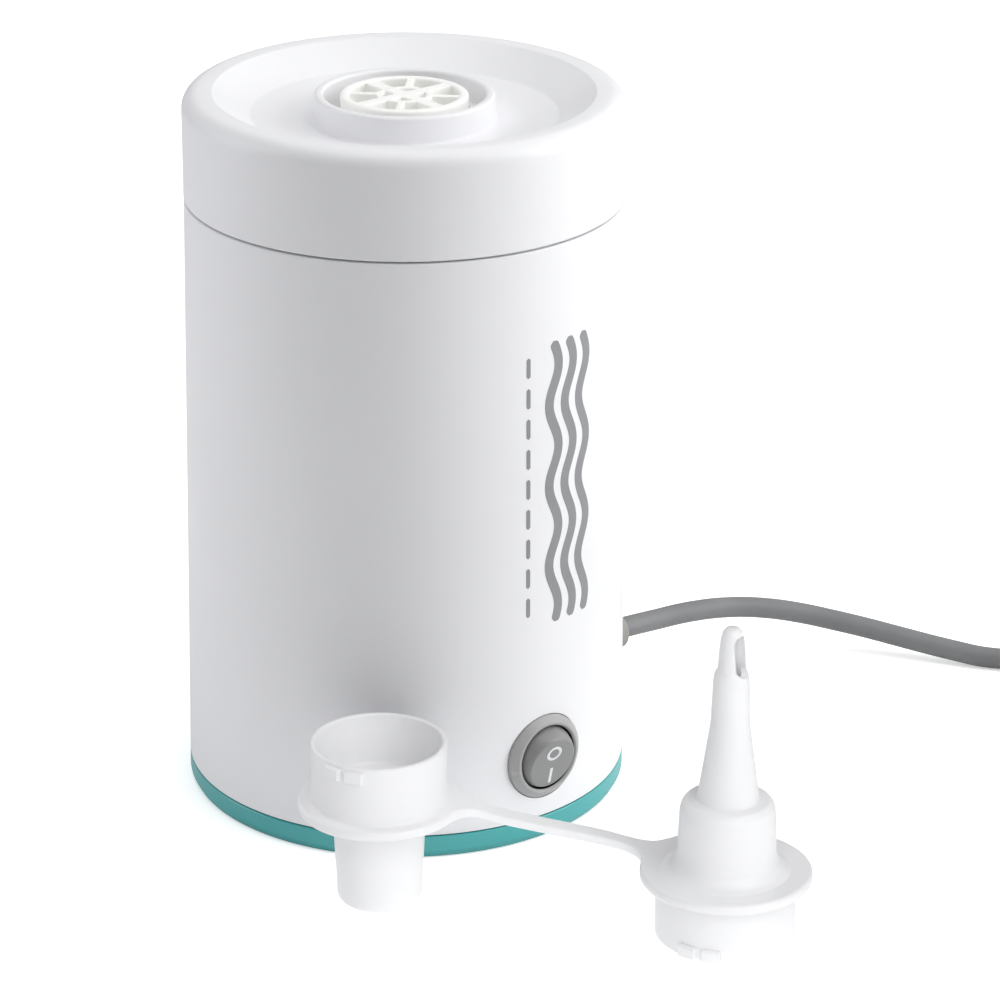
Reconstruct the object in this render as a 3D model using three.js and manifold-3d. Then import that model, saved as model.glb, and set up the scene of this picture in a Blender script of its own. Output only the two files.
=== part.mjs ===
// Electric air mattress pump: a tall round mains-powered inflator that stands on its base.
// Air enters through slots in the base, passes up through a centrifugal fan and past the motor,
// and leaves through the grille in the top cap. A loose nozzle set stands beside the pump.
// Units are millimetres, +Z is up, the origin is the centre of the base's resting face,
// the switch faces -Y and the cord leaves towards +X.
import * as THREE from 'three';
import { mergeVertices } from 'three/addons/utils/BufferGeometryUtils.js';
import Module from 'manifold-3d';

const wasm = await Module();
wasm.setup();
const { degToRad, radToDeg, smoothstep } = THREE.MathUtils;

// ---------------------------------------------------------------- plan helpers
const polar = (radius, angle) =>
  [radius * Math.cos(degToRad(angle)), radius * Math.sin(degToRad(angle))];
const evenly = (count, start = 0) =>
  Array.from({ length: count }, (_, i) => start + (i * 360) / count);
const circle = (radius, count, start) => evenly(count, start).map((angle) => polar(radius, angle));
const arc = (radius, from, to, steps) =>
  Array.from({ length: steps + 1 }, (_, i) => polar(radius, from + ((to - from) * i) / steps));
// closed outline that runs out along one side and back along the other
const between = (side, otherSide) => [...side, ...otherSide.slice().reverse()];
const sector = (outer, inner, from, to, steps) =>
  between(arc(outer, from, to, steps), arc(inner, from, to, steps));

// ---------------------------------------------------------------- driving dimensions
// R_ is a radius and Z_ a height
const FOOT = 0.2;             // feet stand this far below the base
const R_BASE = 55.45;         // outer radius at the foot
const R_HOUSING = R_BASE - 0.05; // lower edge of the housing
const R_SEAM = 53.9;          // top edge of the housing
const Z_RING = FOOT + 5.8;    // top of the coloured base ring
const Z_HOUSING = Z_RING + 0.3;
const Z_SEAM = 153.65;
const WALL = 2.4;             // moulded wall
const R_CAP = 54;
const Z_TOP = 180.2;          // crest of the cap's rim
const COLLAR_OUTER = 22;
const COLLAR_INNER = 19.7;
const Z_COLLAR = 178.8;
const R_GRILLE = 15.6;

const FEET = circle(45.5, 3);
const BASE_SCREW_ANGLES = evenly(3, 60);
const BASE_SCREWS = circle(44.5, 3, 60);
const FAN_SCREW_ANGLES = evenly(3, 90); // also the arms of the motor bracket
const FAN_SCREWS = circle(46.6, 3, 90);
const MOTOR_SCREWS = [[11, 0], [-11, 0]];
const CLAMP_SCREWS = [[42, -6.6], [42, 6.6]];

const Z_SWITCH = 22.3;
const Y_PIVOT = -53.74;       // rocker pivot
const R_BEZEL = 10.9;
const R_ROCKER_HOLE = 8.4;
const R_ROCKER = 8.2;
const TILT = 13;              // rocker tilt from level, degrees

const R_FAN_PLATE = 50.6;
const R_IMPELLER = 42;
const R_EYE = 21;             // inner end of the vanes
const VANE_COUNT = 9;
const VANE_SWEEP = 55;        // degrees
const VANE_THICKNESS = 1.3;
const R_CAN = 21;             // motor can
const R_SHAFT = 1.5;
const R_SHAFT_BORE = 1.62;    // bore of the pieces fixed on the shaft
const POLE_COUNT = 5;         // armature poles

const Z_CORD = 17.8;          // where the cord leaves the housing
const R_CORD = 2.8;
const Z_CORD_FLOOR = R_CORD + 0.05; // axis of the cord where it lies on the floor
const COIL_TURNS = 3;
const POINTS_PER_TURN = 24;
const COIL = { x: 202, y: 12, halfX: 20, halfY: 44 }; // oval coil in the layout plan
const PLUG = { x: 243, y: 12, z: 7.2, blade: 6.35 };  // blade: offset from the middle

const WIDE = [-51.5, -54.9];  // wide nozzle, plan position
const TAPER = [1.45, -120.2]; // tapered nozzle, plan position
const STRAP_THICKNESS = 2.2;
const STRAP_WIDTH = 5.2;

// The loose cord and nozzles are laid out in a plan turned by this angle from the pump's.
const LAYOUT_TURN = 38.16;
function fromLayout(x, y) {
  const cos = Math.cos(degToRad(LAYOUT_TURN));
  const sin = Math.sin(degToRad(LAYOUT_TURN));
  return [x * cos + y * sin, -x * sin + y * cos];
}

// ---------------------------------------------------------------- materials
const material = (settings) => new THREE.MeshStandardMaterial(settings);
const WHITE = material({ color: 0xf1f1f2, roughness: 0.38 });
const TEAL = material({ color: 0x3f9f9b, roughness: 0.42 });
const RUBBER = material({ color: 0x2b2c2e, roughness: 0.85 });
const BEZEL = material({ color: 0x8b8d90, roughness: 0.5 });
const ROCKER = material({ color: 0x939598, roughness: 0.45 });
const GREY = material({ color: 0xb9bbb4, roughness: 0.55 });
const CORD = material({ color: 0x7f8183, roughness: 0.55 });
const ABS = material({ color: 0xd9dadb, roughness: 0.5 });
const FAN = material({ color: 0xe6e6e2, roughness: 0.45 });
const STEEL = material({ color: 0x9a9c9f, roughness: 0.35, metalness: 0.9 });
const ZINC = material({ color: 0xb4b7ba, roughness: 0.3, metalness: 0.9 });
const BRONZE = material({ color: 0x9a7440, roughness: 0.5, metalness: 0.8 });
const COPPER = material({ color: 0xb05f2b, roughness: 0.4, metalness: 0.8 });
const FERRITE = material({ color: 0x3a3b3d, roughness: 0.7 });
const CARBON = material({ color: 0x2a2a2a, roughness: 0.8 });
const BOARD = material({ color: 0x2f6b45, roughness: 0.55 });
const BLACK = material({ color: 0x1d1e20, roughness: 0.5 });
const RED = material({ color: 0x9c2f2a, roughness: 0.5 });
const BLUE = material({ color: 0x2f4f8c, roughness: 0.5 });

// ---------------------------------------------------------------- solids
// a matrix that turns about Z by an angle in degrees, then moves
const at = (x, y, z, angle = 0) =>
  new THREE.Matrix4().makeRotationZ(degToRad(angle)).setPosition(x, y, z);

// a closed geometry as a solid, its faces turned outward
function solid(geometry, matrix) {
  for (const name of Object.keys(geometry.attributes)) {
    if (name !== 'position') geometry.deleteAttribute(name);
  }
  if (matrix) geometry.applyMatrix4(matrix);
  const { attributes: { position }, index } = mergeVertices(geometry, 1e-4);
  const corner = (vertex) => new THREE.Vector3().fromBufferAttribute(position, vertex);
  const triangles = [];
  let volume = 0;
  for (let i = 0; i < index.count; i += 3) {
    const triangle = Array.from(index.array.slice(i, i + 3));
    if (new Set(triangle).size < 3) continue;
    triangles.push(...triangle);
    const [first, second, third] = triangle.map(corner);
    volume += first.dot(second.cross(third));
  }
  if (volume < 0) triangles.reverse(); // flips every triangle
  return new wasm.Manifold(new wasm.Mesh({
    numProp: 3,
    vertProperties: Float32Array.from(position.array),
    triVerts: Uint32Array.from(triangles),
  }));
}

// a solid turned about +Z from a closed outline of [radius, height] points
function turned(profile, segments, matrix) {
  const points = profile.map(([radius, z]) => new THREE.Vector2(radius, z));
  if (points[0].x > 0 || points[points.length - 1].x > 0) points.push(points[0].clone());
  return solid(new THREE.LatheGeometry(points, segments).rotateX(Math.PI / 2), matrix);
}
const cylinder = (radius, length, segments) =>
  new THREE.CylinderGeometry(radius, radius, length, segments);
const disc = (radius, z0, z1, segments, x = 0, y = 0) =>
  solid(cylinder(radius, z1 - z0, segments).rotateX(Math.PI / 2), at(x, y, (z0 + z1) / 2));
const rodX = (radius, x0, x1, segments, y = 0, z = 0) =>
  solid(cylinder(radius, x1 - x0, segments).rotateZ(-Math.PI / 2), at((x0 + x1) / 2, y, z));
const rodY = (radius, y0, y1, segments, x = 0, z = 0) =>
  solid(cylinder(radius, y1 - y0, segments), at(x, (y0 + y1) / 2, z));
const block = (x0, x1, y0, y1, z0, z1, matrix) => solid(
  new THREE.BoxGeometry(x1 - x0, y1 - y0, z1 - z0)
    .translate((x0 + x1) / 2, (y0 + y1) / 2, (z0 + z1) / 2), matrix);
const discs = (places, radius, z0, z1, segments) =>
  places.map(([x, y]) => disc(radius, z0, z1, segments, x, y));
// radial bars, from radius r0 to r1 at each angle
const spokes = (angles, r0, r1, halfWidth, z0, z1) =>
  angles.map((angle) => block(r0, r1, -halfWidth, halfWidth, z0, z1, at(0, 0, 0, angle)));

const shapeOf = (points) => new THREE.Shape(points.map(([x, y]) => new THREE.Vector2(x, y)));
const extrude = (shape, depth) =>
  new THREE.ExtrudeGeometry(shape, { depth, bevelEnabled: false, steps: 1 });
function plate(points, z0, z1, holes = []) { // flat plate from an outline in plan
  const shape = shapeOf(points);
  shape.holes = holes.map(shapeOf);
  return solid(extrude(shape, z1 - z0), at(0, 0, z0));
}
function tube(points, radius, steps, sides) { // round cord along a smooth curve
  const path = points.map((point) => new THREE.Vector3(...point));
  const extrudePath = new THREE.CatmullRomCurve3(path, false, 'centripetal');
  extrudePath.arcLengthDivisions = 2000;
  const section = shapeOf(circle(radius, sides));
  return solid(new THREE.ExtrudeGeometry(section, { steps, bevelEnabled: false, extrudePath }));
}
// a screw on the Z axis; head: heights of the head's outer face and underside
function screw({ head: [face, under], headRadius, shankRadius, tip }) {
  return turned([[0, face], [headRadius, face], [headRadius, under],
    [shankRadius, under], [shankRadius, tip], [0, tip]], 8);
}
const join = (body, ...others) => others.flat().reduce((sum, other) => sum.add(other), body);
const cut = (body, ...others) => others.flat().reduce((rest, other) => rest.subtract(other), body);

// ---------------------------------------------------------------- meshes
function part(parent, name, body, surface, position = [0, 0, 0], angle = 0) {
  const { vertProperties, triVerts } = body.getMesh();
  const geometry = new THREE.BufferGeometry();
  geometry.setAttribute('position',
    new THREE.BufferAttribute(Float32Array.from(vertProperties), 3));
  geometry.setIndex(new THREE.BufferAttribute(Uint32Array.from(triVerts), 1));
  geometry.computeVertexNormals();
  const mesh = new THREE.Mesh(geometry, surface);
  mesh.name = name;
  mesh.position.set(...position);
  mesh.rotation.z = degToRad(angle);
  parent.add(mesh);
  return mesh;
}
// numbered copies at places in plan
const copies = (parent, name, body, surface, places) => places.forEach((place, i) =>
  part(parent, `${name}_${i + 1}`, body, surface, [...place, 0]));
// a numbered pair, half a turn apart about the Z axis
const pair = (parent, name, body, surface, angle = 0) => [0, 180].forEach((turn, i) =>
  part(parent, `${name}_${i + 1}`, body, surface, [0, 0, 0], angle + turn));
function group(parent, x = 0, y = 0, z = 0) {
  const child = new THREE.Group();
  child.position.set(x, y, z);
  parent.add(child);
  return child;
}

const pump = new THREE.Group();

// ---------------------------------------------------------------- base tray
function baseTray() {
  const tray = turned([[0, 0], [13, 0], [13, FOOT], [54.4, FOOT], [R_BASE, 1.9],
    [R_HOUSING, Z_RING], [52.3, Z_RING], [52.3, 11], [50.4, 11], [50.4, 3], [0, 3]], 36);
  const bosses = [...discs(BASE_SCREWS, 5, 2, 6, 12), ...discs(CLAMP_SCREWS, 3, 2, 20.6, 10)];
  const cordRest = block(40.5, 43.5, -6, 6, 2, 14.6);
  const boardPosts = [-18.2, 18.2].map((x) => block(x - 2.4, x + 2.4, 29, 34.6, 2, 20));
  const boardGroove = block(-16.6, 16.6, 30.7, 32.9, 4, 25);
  const switchGap = block(-10, 10, -54, -47, Z_RING + 0.2, 12); // gap in the spigot
  const intakeSlots = spokes(evenly(12, 15), 17, 37, 2, -1, 3.2);
  return cut(join(tray, bosses, cordRest, boardPosts), boardGroove, switchGap, intakeSlots,
    discs(BASE_SCREWS, 3.2, 0, 3.6, 12), discs(BASE_SCREWS, 1.8, 0, 7, 8),
    discs(FEET, 4.9, 0, 1.8, 14), discs(CLAMP_SCREWS, 1.25, 9, 21, 8));
}
part(pump, 'base_tray', baseTray(), TEAL);

const foot = turned([[0, 0], [3.9, 0], [4.5, 0.5], [4.5, 1.5], [0, 1.5]], 14);
copies(pump, 'rubber_foot', foot, RUBBER, FEET);

const baseScrew = screw({ head: [1.9, 3.3], headRadius: 2.7, shankRadius: 1.35, tip: 17.4 });
copies(pump, 'base_screw', baseScrew, ZINC, BASE_SCREWS);

// ---------------------------------------------------------------- main housing
function mainHousing() {
  const taper = (R_SEAM - R_HOUSING) / (Z_SEAM - Z_HOUSING);
  const outer = (z) => R_HOUSING + taper * (z - Z_HOUSING);
  const inner = (z) => outer(z) - WALL;
  let body = turned([[outer(Z_HOUSING), Z_HOUSING], [outer(Z_SEAM), Z_SEAM],
    [inner(Z_SEAM), Z_SEAM], [inner(38), 38], [48.8, 38], [48.8, 36],
    [inner(36), 34.6], [inner(Z_HOUSING), Z_HOUSING]], 36);
  // base screw bosses, ribbed to the wall above the tray's spigot
  body = join(body, discs(BASE_SCREWS, 4, Z_HOUSING, 22, 12),
    spokes(BASE_SCREW_ANGLES, 46.5, 53.4, 1.5, 11.4, 22));
  body = cut(body, discs(BASE_SCREWS, 1.65, 5, 19.5, 8));
  // fan screw bosses under the ledge
  body = join(body, discs(FAN_SCREWS, 3.6, 28, 38, 12),
    spokes(FAN_SCREW_ANGLES, 48, 53, 1.5, 28, 37));
  body = cut(body, discs(FAN_SCREWS, 1.6, 29.5, 39, 8));
  // ribs that hold the motor bracket
  body = join(body, spokes(FAN_SCREW_ANGLES, 49, 52.6, 3.5, 97, 105.6));
  // flat seat and hole for the switch
  body = join(body, rodY(13.4, -53.4, -51, 20, 0, Z_SWITCH));
  return cut(body,
    rodY(11.1, -60, -54, 28, 0, Z_SWITCH),
    rodY(10.15, -60, -45, 20, 0, Z_SWITCH),
    rodX(4.3, 48, 60, 14, 0, Z_CORD), // cord hole
    spokes([62], 47, 52.35, 3.2, 33, 39)); // notch in the ledge for the motor leads
}
part(pump, 'main_housing', mainHousing(), WHITE);

// ---------------------------------------------------------------- top cap, seal and grille
// rounded rim, dished top, outlet collar and nozzle socket
function topCap() {
  const shell = turned([
    // skirt, with the seal's groove
    [49.2, 148.5], [51.1, 148.5], [51.1, 149.9], [50.1, 149.9], [50.1, 151.5], [51.1, 151.5],
    [51.1, Z_SEAM + 0.5], [53.95, Z_SEAM + 0.5],
    // rim and dish
    [R_CAP, 176.1], [53.3, 178.3], [51.9, 179.7], [49.9, Z_TOP], [46.8, 180], [44.4, 178.95],
    [37.6, 174.5], [COLLAR_OUTER, 172.3],
    // collar and socket floor
    [COLLAR_OUTER, 178.2], [21.4, Z_COLLAR], [20.2, Z_COLLAR], [COLLAR_INNER, 178.3],
    [COLLAR_INNER, 165.8], [13.6, 165.8], [13.6, 163.4], [22.1, 163.4],
    // underside
    [22.1, 169.9], [37.9, 171.9], [46.4, 177.3], [49.2, 176.4]], 32);
  // two inward ribs that a nozzle's lugs turn under
  const ribs = [0, 180].map((angle) =>
    plate(sector(20.2, 17.4, angle - 24, angle + 24, 4), 171.5, 173.6));
  return join(shell, ribs);
}
part(pump, 'top_cap', topCap(), WHITE);
part(pump, 'cap_seal', turned([[50.25, 150.3], [51.25, 150.3], [50.9, 151.1]], 36), RUBBER);

// tube with four broad and four thin spokes
function outletGrille() {
  const wall = turned([[R_GRILLE - 0.2, 166.1], [R_GRILLE, 178.2], [15.2, Z_COLLAR],
    [13.9, Z_COLLAR], [13.4, 178.3], [13.6, 166.1]], 24);
  const hubRing = turned([[5.4, 174.8], [5.4, 178.5], [6.8, 178.5], [6.8, 174.8]], 16);
  return join(wall, hubRing, disc(2.8, 174.8, 178.5, 8),
    spokes(evenly(4), 1.5, 14.2, 1.6, 174.8, 178.45),
    spokes(evenly(4, 45), 6, 14.2, 0.85, 174.8, 178.4));
}
part(pump, 'outlet_grille', outletGrille(), WHITE);

// ---------------------------------------------------------------- fan
const fan = group(pump);

function fanInletPlate() { // with a wall round the edge and a bell mouth
  const body = turned([[18, 38.3], [R_FAN_PLATE, 38.3], [R_FAN_PLATE, 56.5], [48.8, 56.5],
    [48.8, 40.3], [20, 40.3], [19.4, 41.2], [18, 41.2]], 24);
  return cut(join(body, discs(FAN_SCREWS, 2.9, 39, 56.5, 8)), discs(FAN_SCREWS, 1.7, 37, 58, 8));
}
part(fan, 'fan_inlet_plate', fanInletPlate(), ABS);

function diffuserPlate() {
  const body = turned(
    [[7.2, 56.8], [R_FAN_PLATE, 56.8], [R_FAN_PLATE, 59.4], [7.2, 59.4]], 24);
  return cut(join(body, spokes(evenly(6), 24, 46, 0.8, 58, 66)),
    spokes(evenly(12, 15), 28, 43, 4, 55, 61),
    discs(FAN_SCREWS, 1.7, 56, 62, 8), discs(MOTOR_SCREWS, 1.6, 56, 61, 8));
}
part(fan, 'diffuser_plate', diffuserPlate(), ABS);

const fanScrew = screw({ head: [61.2, 59.7], headRadius: 2.7, shankRadius: 1.3, tip: 30.6 });
copies(fan, 'fan_screw', fanScrew, ZINC, FAN_SCREWS);

const rotor = group(pump);

function vane(startAngle) { // backward-curved
  const steps = [0, 0.25, 0.5, 0.75, 1].map((t) => ({
    radius: R_EYE + (R_IMPELLER - R_EYE) * t,
    angle: startAngle - VANE_SWEEP * t ** 1.15,
  }));
  return plate(between(
    steps.map(({ radius, angle }) => polar(radius, angle)),
    steps.map(({ radius, angle }) => polar(radius, angle + radToDeg(VANE_THICKNESS / radius))),
  ), 41.6, 53.2);
}
const impellerDisc = turned([[R_SHAFT_BORE, 46], [5.5, 46], [6.2, 50], [9, 52.9],
  [R_IMPELLER, 52.9], [R_IMPELLER, 54.4], [R_SHAFT_BORE, 54.4]], 24);
part(rotor, 'impeller', join(impellerDisc, evenly(VANE_COUNT).map(vane)), FAN);

// ---------------------------------------------------------------- motor, standing parts
const motor = group(pump);

function motorCan() {
  const body = turned([[2.3, 57.7], [6, 57.7], [6, 59.7], [R_CAN, 59.7], [R_CAN, 116],
    [R_CAN - 1.5, 116], [R_CAN - 1.5, 61.3], [5.8, 61.3], [5.8, 64], [4.15, 64],
    [4.15, 58.6], [2.3, 58.6]], 20);
  return cut(body, discs(MOTOR_SCREWS, 1.5, 58, 63, 8),
    spokes(evenly(4, 45), 9, 17, 2.5, 58, 63));
}
part(motor, 'motor_can', motorCan(), STEEL);

function motorEndCap() { // with two hollow brush boxes
  const body = turned([[2.3, 112], [19.1, 112], [19.1, 116.3], [R_CAN, 116.3],
    [R_CAN, 118.5], [6.5, 118.5], [6.2, 123.5], [4.15, 123.5], [4.15, 118], [2.3, 118]], 20);
  return cut(join(body, spokes([0, 180], 8, 18.6, 3.4, 103, 112.5)),
    spokes([0, 180], 7, 17.2, 2.4, 104, 110.6),
    spokes(evenly(4, 45), 9, 16, 2.5, 111, 120));
}
part(motor, 'motor_end_cap', motorEndCap(), BLACK);

pair(motor, 'magnet', plate(sector(19.1, 15.6, -68, 68, 7), 64.5, 100), FERRITE, 90);

const bearing = turned([[1.6, 0], [4, 0], [4, 4.7], [1.6, 4.7]], 20);
part(motor, 'lower_bearing', bearing, BRONZE, [0, 0, 58.9]);
part(motor, 'upper_bearing', bearing, BRONZE, [0, 0, 118.3]);

function brushSpring() { // helix along X, eight points to a turn
  const points = [];
  for (let i = 0; i <= 28; i++) {
    const [y, z] = polar(1.5, i * 45);
    points.push([12.7 + (3.9 * i) / 28, y, 107.3 + z]);
  }
  return tube(points, 0.22, 24, 4);
}
pair(motor, 'carbon_brush', block(4.9, 12, -2.1, 2.1, 104.5, 110.1), CARBON);
pair(motor, 'brush_spring', brushSpring(), STEEL);

const motorScrew = screw({ head: [55, 56.5], headRadius: 2.6, shankRadius: 1.2, tip: 61.7 });
copies(motor, 'motor_screw', motorScrew, ZINC, MOTOR_SCREWS);
part(motor, 'motor_ring', turned([[21.3, 107], [24, 107], [24, 115], [21.3, 115]], 24), RUBBER);

const motorBracket = join( // sleeve and outer ring, joined by three arms
  turned([[24.3, 106], [27, 106], [27, 115], [24.3, 115]], 20),
  turned([[49, 106], [50.9, 106], [50.9, 108.4], [49, 108.4]], 24),
  spokes(FAN_SCREW_ANGLES, 26.2, 50, 2.2, 106, 110));
part(motor, 'motor_bracket', motorBracket, ABS);
part(motor, 'thermal_fuse', disc(1.9, 72, 84, 12, -23.3, 0), BLACK);

// ---------------------------------------------------------------- motor, turning parts
const shaft = turned(
  [[0, 43], [1.2, 43], [R_SHAFT, 43.5], [R_SHAFT, 125.8], [0, 125.8]], 20);
part(rotor, 'motor_shaft', shaft, ZINC);

function armatureStack() { // T-shaped poles round a core
  const neckEdge = (radius) => radToDeg(Math.asin(2 / radius)); // the neck is 4 wide
  const coreEdge = neckEdge(6.3);
  const shoeEdge = neckEdge(11.6);
  const outline = evenly(POLE_COUNT).flatMap((angle) => [
    polar(6.3, angle - coreEdge),
    polar(11.6, angle - shoeEdge),
    polar(12.4, angle - 30),
    ...arc(14.8, angle - 30, angle + 30, 5),
    polar(12.4, angle + 30),
    polar(11.6, angle + shoeEdge),
    polar(6.3, angle + coreEdge),
  ]);
  return plate(outline, 66, 98, [circle(R_SHAFT_BORE, 16)]);
}
part(rotor, 'armature_stack', armatureStack(), STEEL);

function armatureWinding() { // end turns above and below, joined through the slots
  const upper = turned([[3, 98.3], [12, 98.3], [12.4, 99.5], [10.5, 101.8], [3, 102.2]], 16);
  const lower = turned([[3, 62.4], [10.5, 62.6], [12.4, 64.6], [12, 65.7], [3, 65.7]], 16);
  const slot = [[6.9, 14], [9, 19.4], [11, 22.2]]; // radius, half angle
  const slotFills = evenly(POLE_COUNT, 36).map((angle) => plate(between(
    slot.map(([radius, half]) => polar(radius, angle - half)),
    slot.map(([radius, half]) => polar(radius, angle + half)),
  ), 65.5, 98.5));
  return join(cut(join(upper, lower), disc(6.4, 60, 65.2, 16)), slotFills);
}
part(rotor, 'armature_winding', armatureWinding(), COPPER);

const commutator = turned([[R_SHAFT_BORE, 102.6], [5.4, 102.6], [5.4, 103.6],
  [4.5, 103.8], [4.5, 111], [R_SHAFT_BORE, 111]], 16);
part(rotor, 'commutator', commutator, COPPER);

// ---------------------------------------------------------------- rectifier board in the base
const board = group(pump, 0, 31, 0);
part(board, 'rectifier_board', block(-16.3, 16.3, 0, 1.6, 4.3, 32), BOARD);
part(board, 'bridge_rectifier', block(-13, -3, -4.3, -0.3, 17, 27), BLACK);
part(board, 'filter_capacitor', block(1, 14, -6.3, -0.3, 15, 25), RED);

// ---------------------------------------------------------------- rocker switch
const switchGroup = group(pump, 0, 0, Z_SWITCH);

const switchHousing = cut(
  join(rodY(R_BEZEL, -56.8, -54.1, 32), rodY(9.8, -55, -39, 24)),
  rodY(R_ROCKER_HOLE, -58, -40.5, 32),
  rodX(1.5, -9.2, 9.2, 12, Y_PIVOT), // pivot bores
  block(-3.4, -2, -42, -37, -3, 3), // terminal slots
  block(2, 3.4, -42, -37, -3, 3));
part(switchGroup, 'switch_housing', switchHousing, BEZEL);

function switchRocker() { // a ball about the pivot, cut flat in front, hollow behind
  const ball = solid(new THREE.SphereGeometry(R_ROCKER, 20, 12).rotateX(Math.PI / 2));
  const body = cut(ball,
    block(-12, 12, -14, -4.5, -12, 12),
    block(-12, 12, 3.6, 14, -12, 12),
    block(-5.5, 5.5, -2.2, 14, -5.5, 5.5));
  return join(body, rodX(1.25, -8.9, -6, 10), rodX(1.25, 6, 8.9, 10)); // pivot pins
}
const rocker = part(switchGroup, 'switch_rocker', switchRocker(), ROCKER, [0, Y_PIVOT, 0]);
rocker.rotation.x = degToRad(TILT);

const leverBody = join(block(-4, 4, -0.5, 0.5, -5.5, 5.5), rodX(0.9, -4, 4, 8, 0.6));
const lever = part(switchGroup, 'contact_lever', leverBody, COPPER, [0, -43.4, 0]);
lever.rotation.x = degToRad(-0.4 * TILT);

[-3.2, 2.2].forEach((x, i) => part(switchGroup, `switch_terminal_${i + 1}`,
  block(x, x + 1, -41.8, -31, -2.4, 2.4), COPPER));

// ---------------------------------------------------------------- cord, relief and clamp
const alongCord = new THREE.Matrix4().makeRotationY(Math.PI / 2).setPosition(0, 0, Z_CORD);
const strainRelief = turned([[3.1, 49.6], [6, 49.6], [6, 52.2], [4, 52.2], [4, 55.7],
  [5.5, 55.7], [5.4, 60], [4.9, 71.7], [3.1, 71.7]], 16, alongCord);
part(pump, 'strain_relief', strainRelief, GREY);

// x, y, z in the layout plan: from the strain relief down to the floor and on to the coil
const CORD_TO_COIL = [
  [66.7, 52.4, 16.9], [75.2, 58.7, 16.2], [83.7, 63.7, 15.3], [92.1, 67.2, 14.1],
  [100.5, 69.2, 12.6], [108.8, 70, 10.8], [117, 69.6, 9], [125.2, 68.3, 7.4],
  [133.2, 66.3, 5.9], [141.2, 63.8, 4.6], [149.1, 61, 3.6], [156.9, 58.4, Z_CORD_FLOOR],
  [168, 56.4, Z_CORD_FLOOR], [180, 56, Z_CORD_FLOOR], [192, 56.1, R_CORD + 0.1],
];
// x, y, z in the layout plan: from the top of the coil into the plug
const CORD_TO_PLUG = [
  [214, 57, 19.8], [226, 54.5, 15.5], [236, 48, 10], [241.5, 39, 7.6],
  [PLUG.x, 30, PLUG.z], [PLUG.x, 18, PLUG.z],
];

// an oval coil lying on the floor; each turn climbs onto the last near its end
function coilPoints() {
  const points = [];
  for (let i = 1; i <= COIL_TURNS * POINTS_PER_TURN; i++) {
    const turns = i / POINTS_PER_TURN;
    const layer = Math.floor(turns);
    const part = turns - layer;
    const angle = degToRad(90 - 360 * part);
    const rise = 5.95 * (layer + smoothstep(part, 0.74, 0.98));
    const leadIn = Math.max(0, 1 - turns / 0.12); // eases up from the floor at the start
    points.push([COIL.x + COIL.halfX * Math.cos(angle),
      COIL.y + COIL.halfY * Math.sin(angle), 3.9 + rise - leadIn]);
  }
  return points;
}
const insideCord = [41, 50, 60, 71.7].map((x) => [x, 0, Z_CORD]);
const looseCord = [...CORD_TO_COIL, ...coilPoints(), ...CORD_TO_PLUG]
  .map(([x, y, z]) => [...fromLayout(x, y), z]);
part(pump, 'power_cord', tube([...insideCord, ...looseCord], R_CORD, 112, 6), CORD);

const cordClamp = cut(block(39.2, 44.8, -10, 10, 20.9, 23.2), discs(CLAMP_SCREWS, 1.6, 20, 24, 8));
part(pump, 'cord_clamp', cordClamp, ABS);
const clampScrew = turned(
  [[0, 10], [0.95, 10.4], [0.95, 23.5], [2.4, 23.5], [2.4, 24.8], [0, 24.8]], 8);
copies(pump, 'clamp_screw', clampScrew, ZINC, CLAMP_SCREWS);

// ---------------------------------------------------------------- cord tie and plug
const looseGroup = group(pump); // in the layout plan
looseGroup.rotation.z = degToRad(-LAYOUT_TURN);

const cordTie = cut(block(178, 186, 8, 13, 0.1, 19.7), block(178.7, 185.3, 7, 14, 0.8, 19));
part(looseGroup, 'cord_tie', cordTie, BLACK);

const BLADES = [PLUG.x - PLUG.blade, PLUG.x + PLUG.blade];
function plugBody() {
  // x, y from the plug's origin
  const outline = [[-9.5, -12], [-9.5, -28], [-8, -31], [8, -31], [9.5, -28], [9.5, -12],
    [6, -2], [4.6, 14], [-4.6, 14], [-6, -2]].map(([x, y]) => [PLUG.x + x, PLUG.y + y]);
  return cut(plate(outline, 0.2, 14.2),
    rodY(3.1, 14, 28, 12, PLUG.x, PLUG.z), // cord hole
    BLADES.map((x) => block(x - 1.05, x + 1.05, -20, -8, 3.7, 10.7)));
}
part(looseGroup, 'plug_body', plugBody(), CORD);
BLADES.forEach((x, i) => part(looseGroup, `plug_blade_${i + 1}`,
  block(x - 0.75, x + 0.75, -36, -8.4, 4, 10.4), ZINC));

// ---------------------------------------------------------------- inner wiring
// x, y, z along each wire
const LIVE = [[40.5, 1.4, Z_CORD], [36, 2, 15], [26, 4, 10], [20, -8, 9], [12, -20, 12],
  [7, -26, 18], [2.9, -29.8, Z_SWITCH]];
const NEUTRAL = [[40.5, -1.4, Z_CORD], [35, -3, 19], [24, 0, 26], [14, 12, 30], [6, 20, 30],
  [-2, 24, 26], [-8, 25.5, 22]];
part(pump, 'wire_live', tube(LIVE, 0.8, 14, 5), RED);
part(pump, 'wire_neutral', tube(NEUTRAL, 0.8, 14, 5), BLUE);

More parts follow.
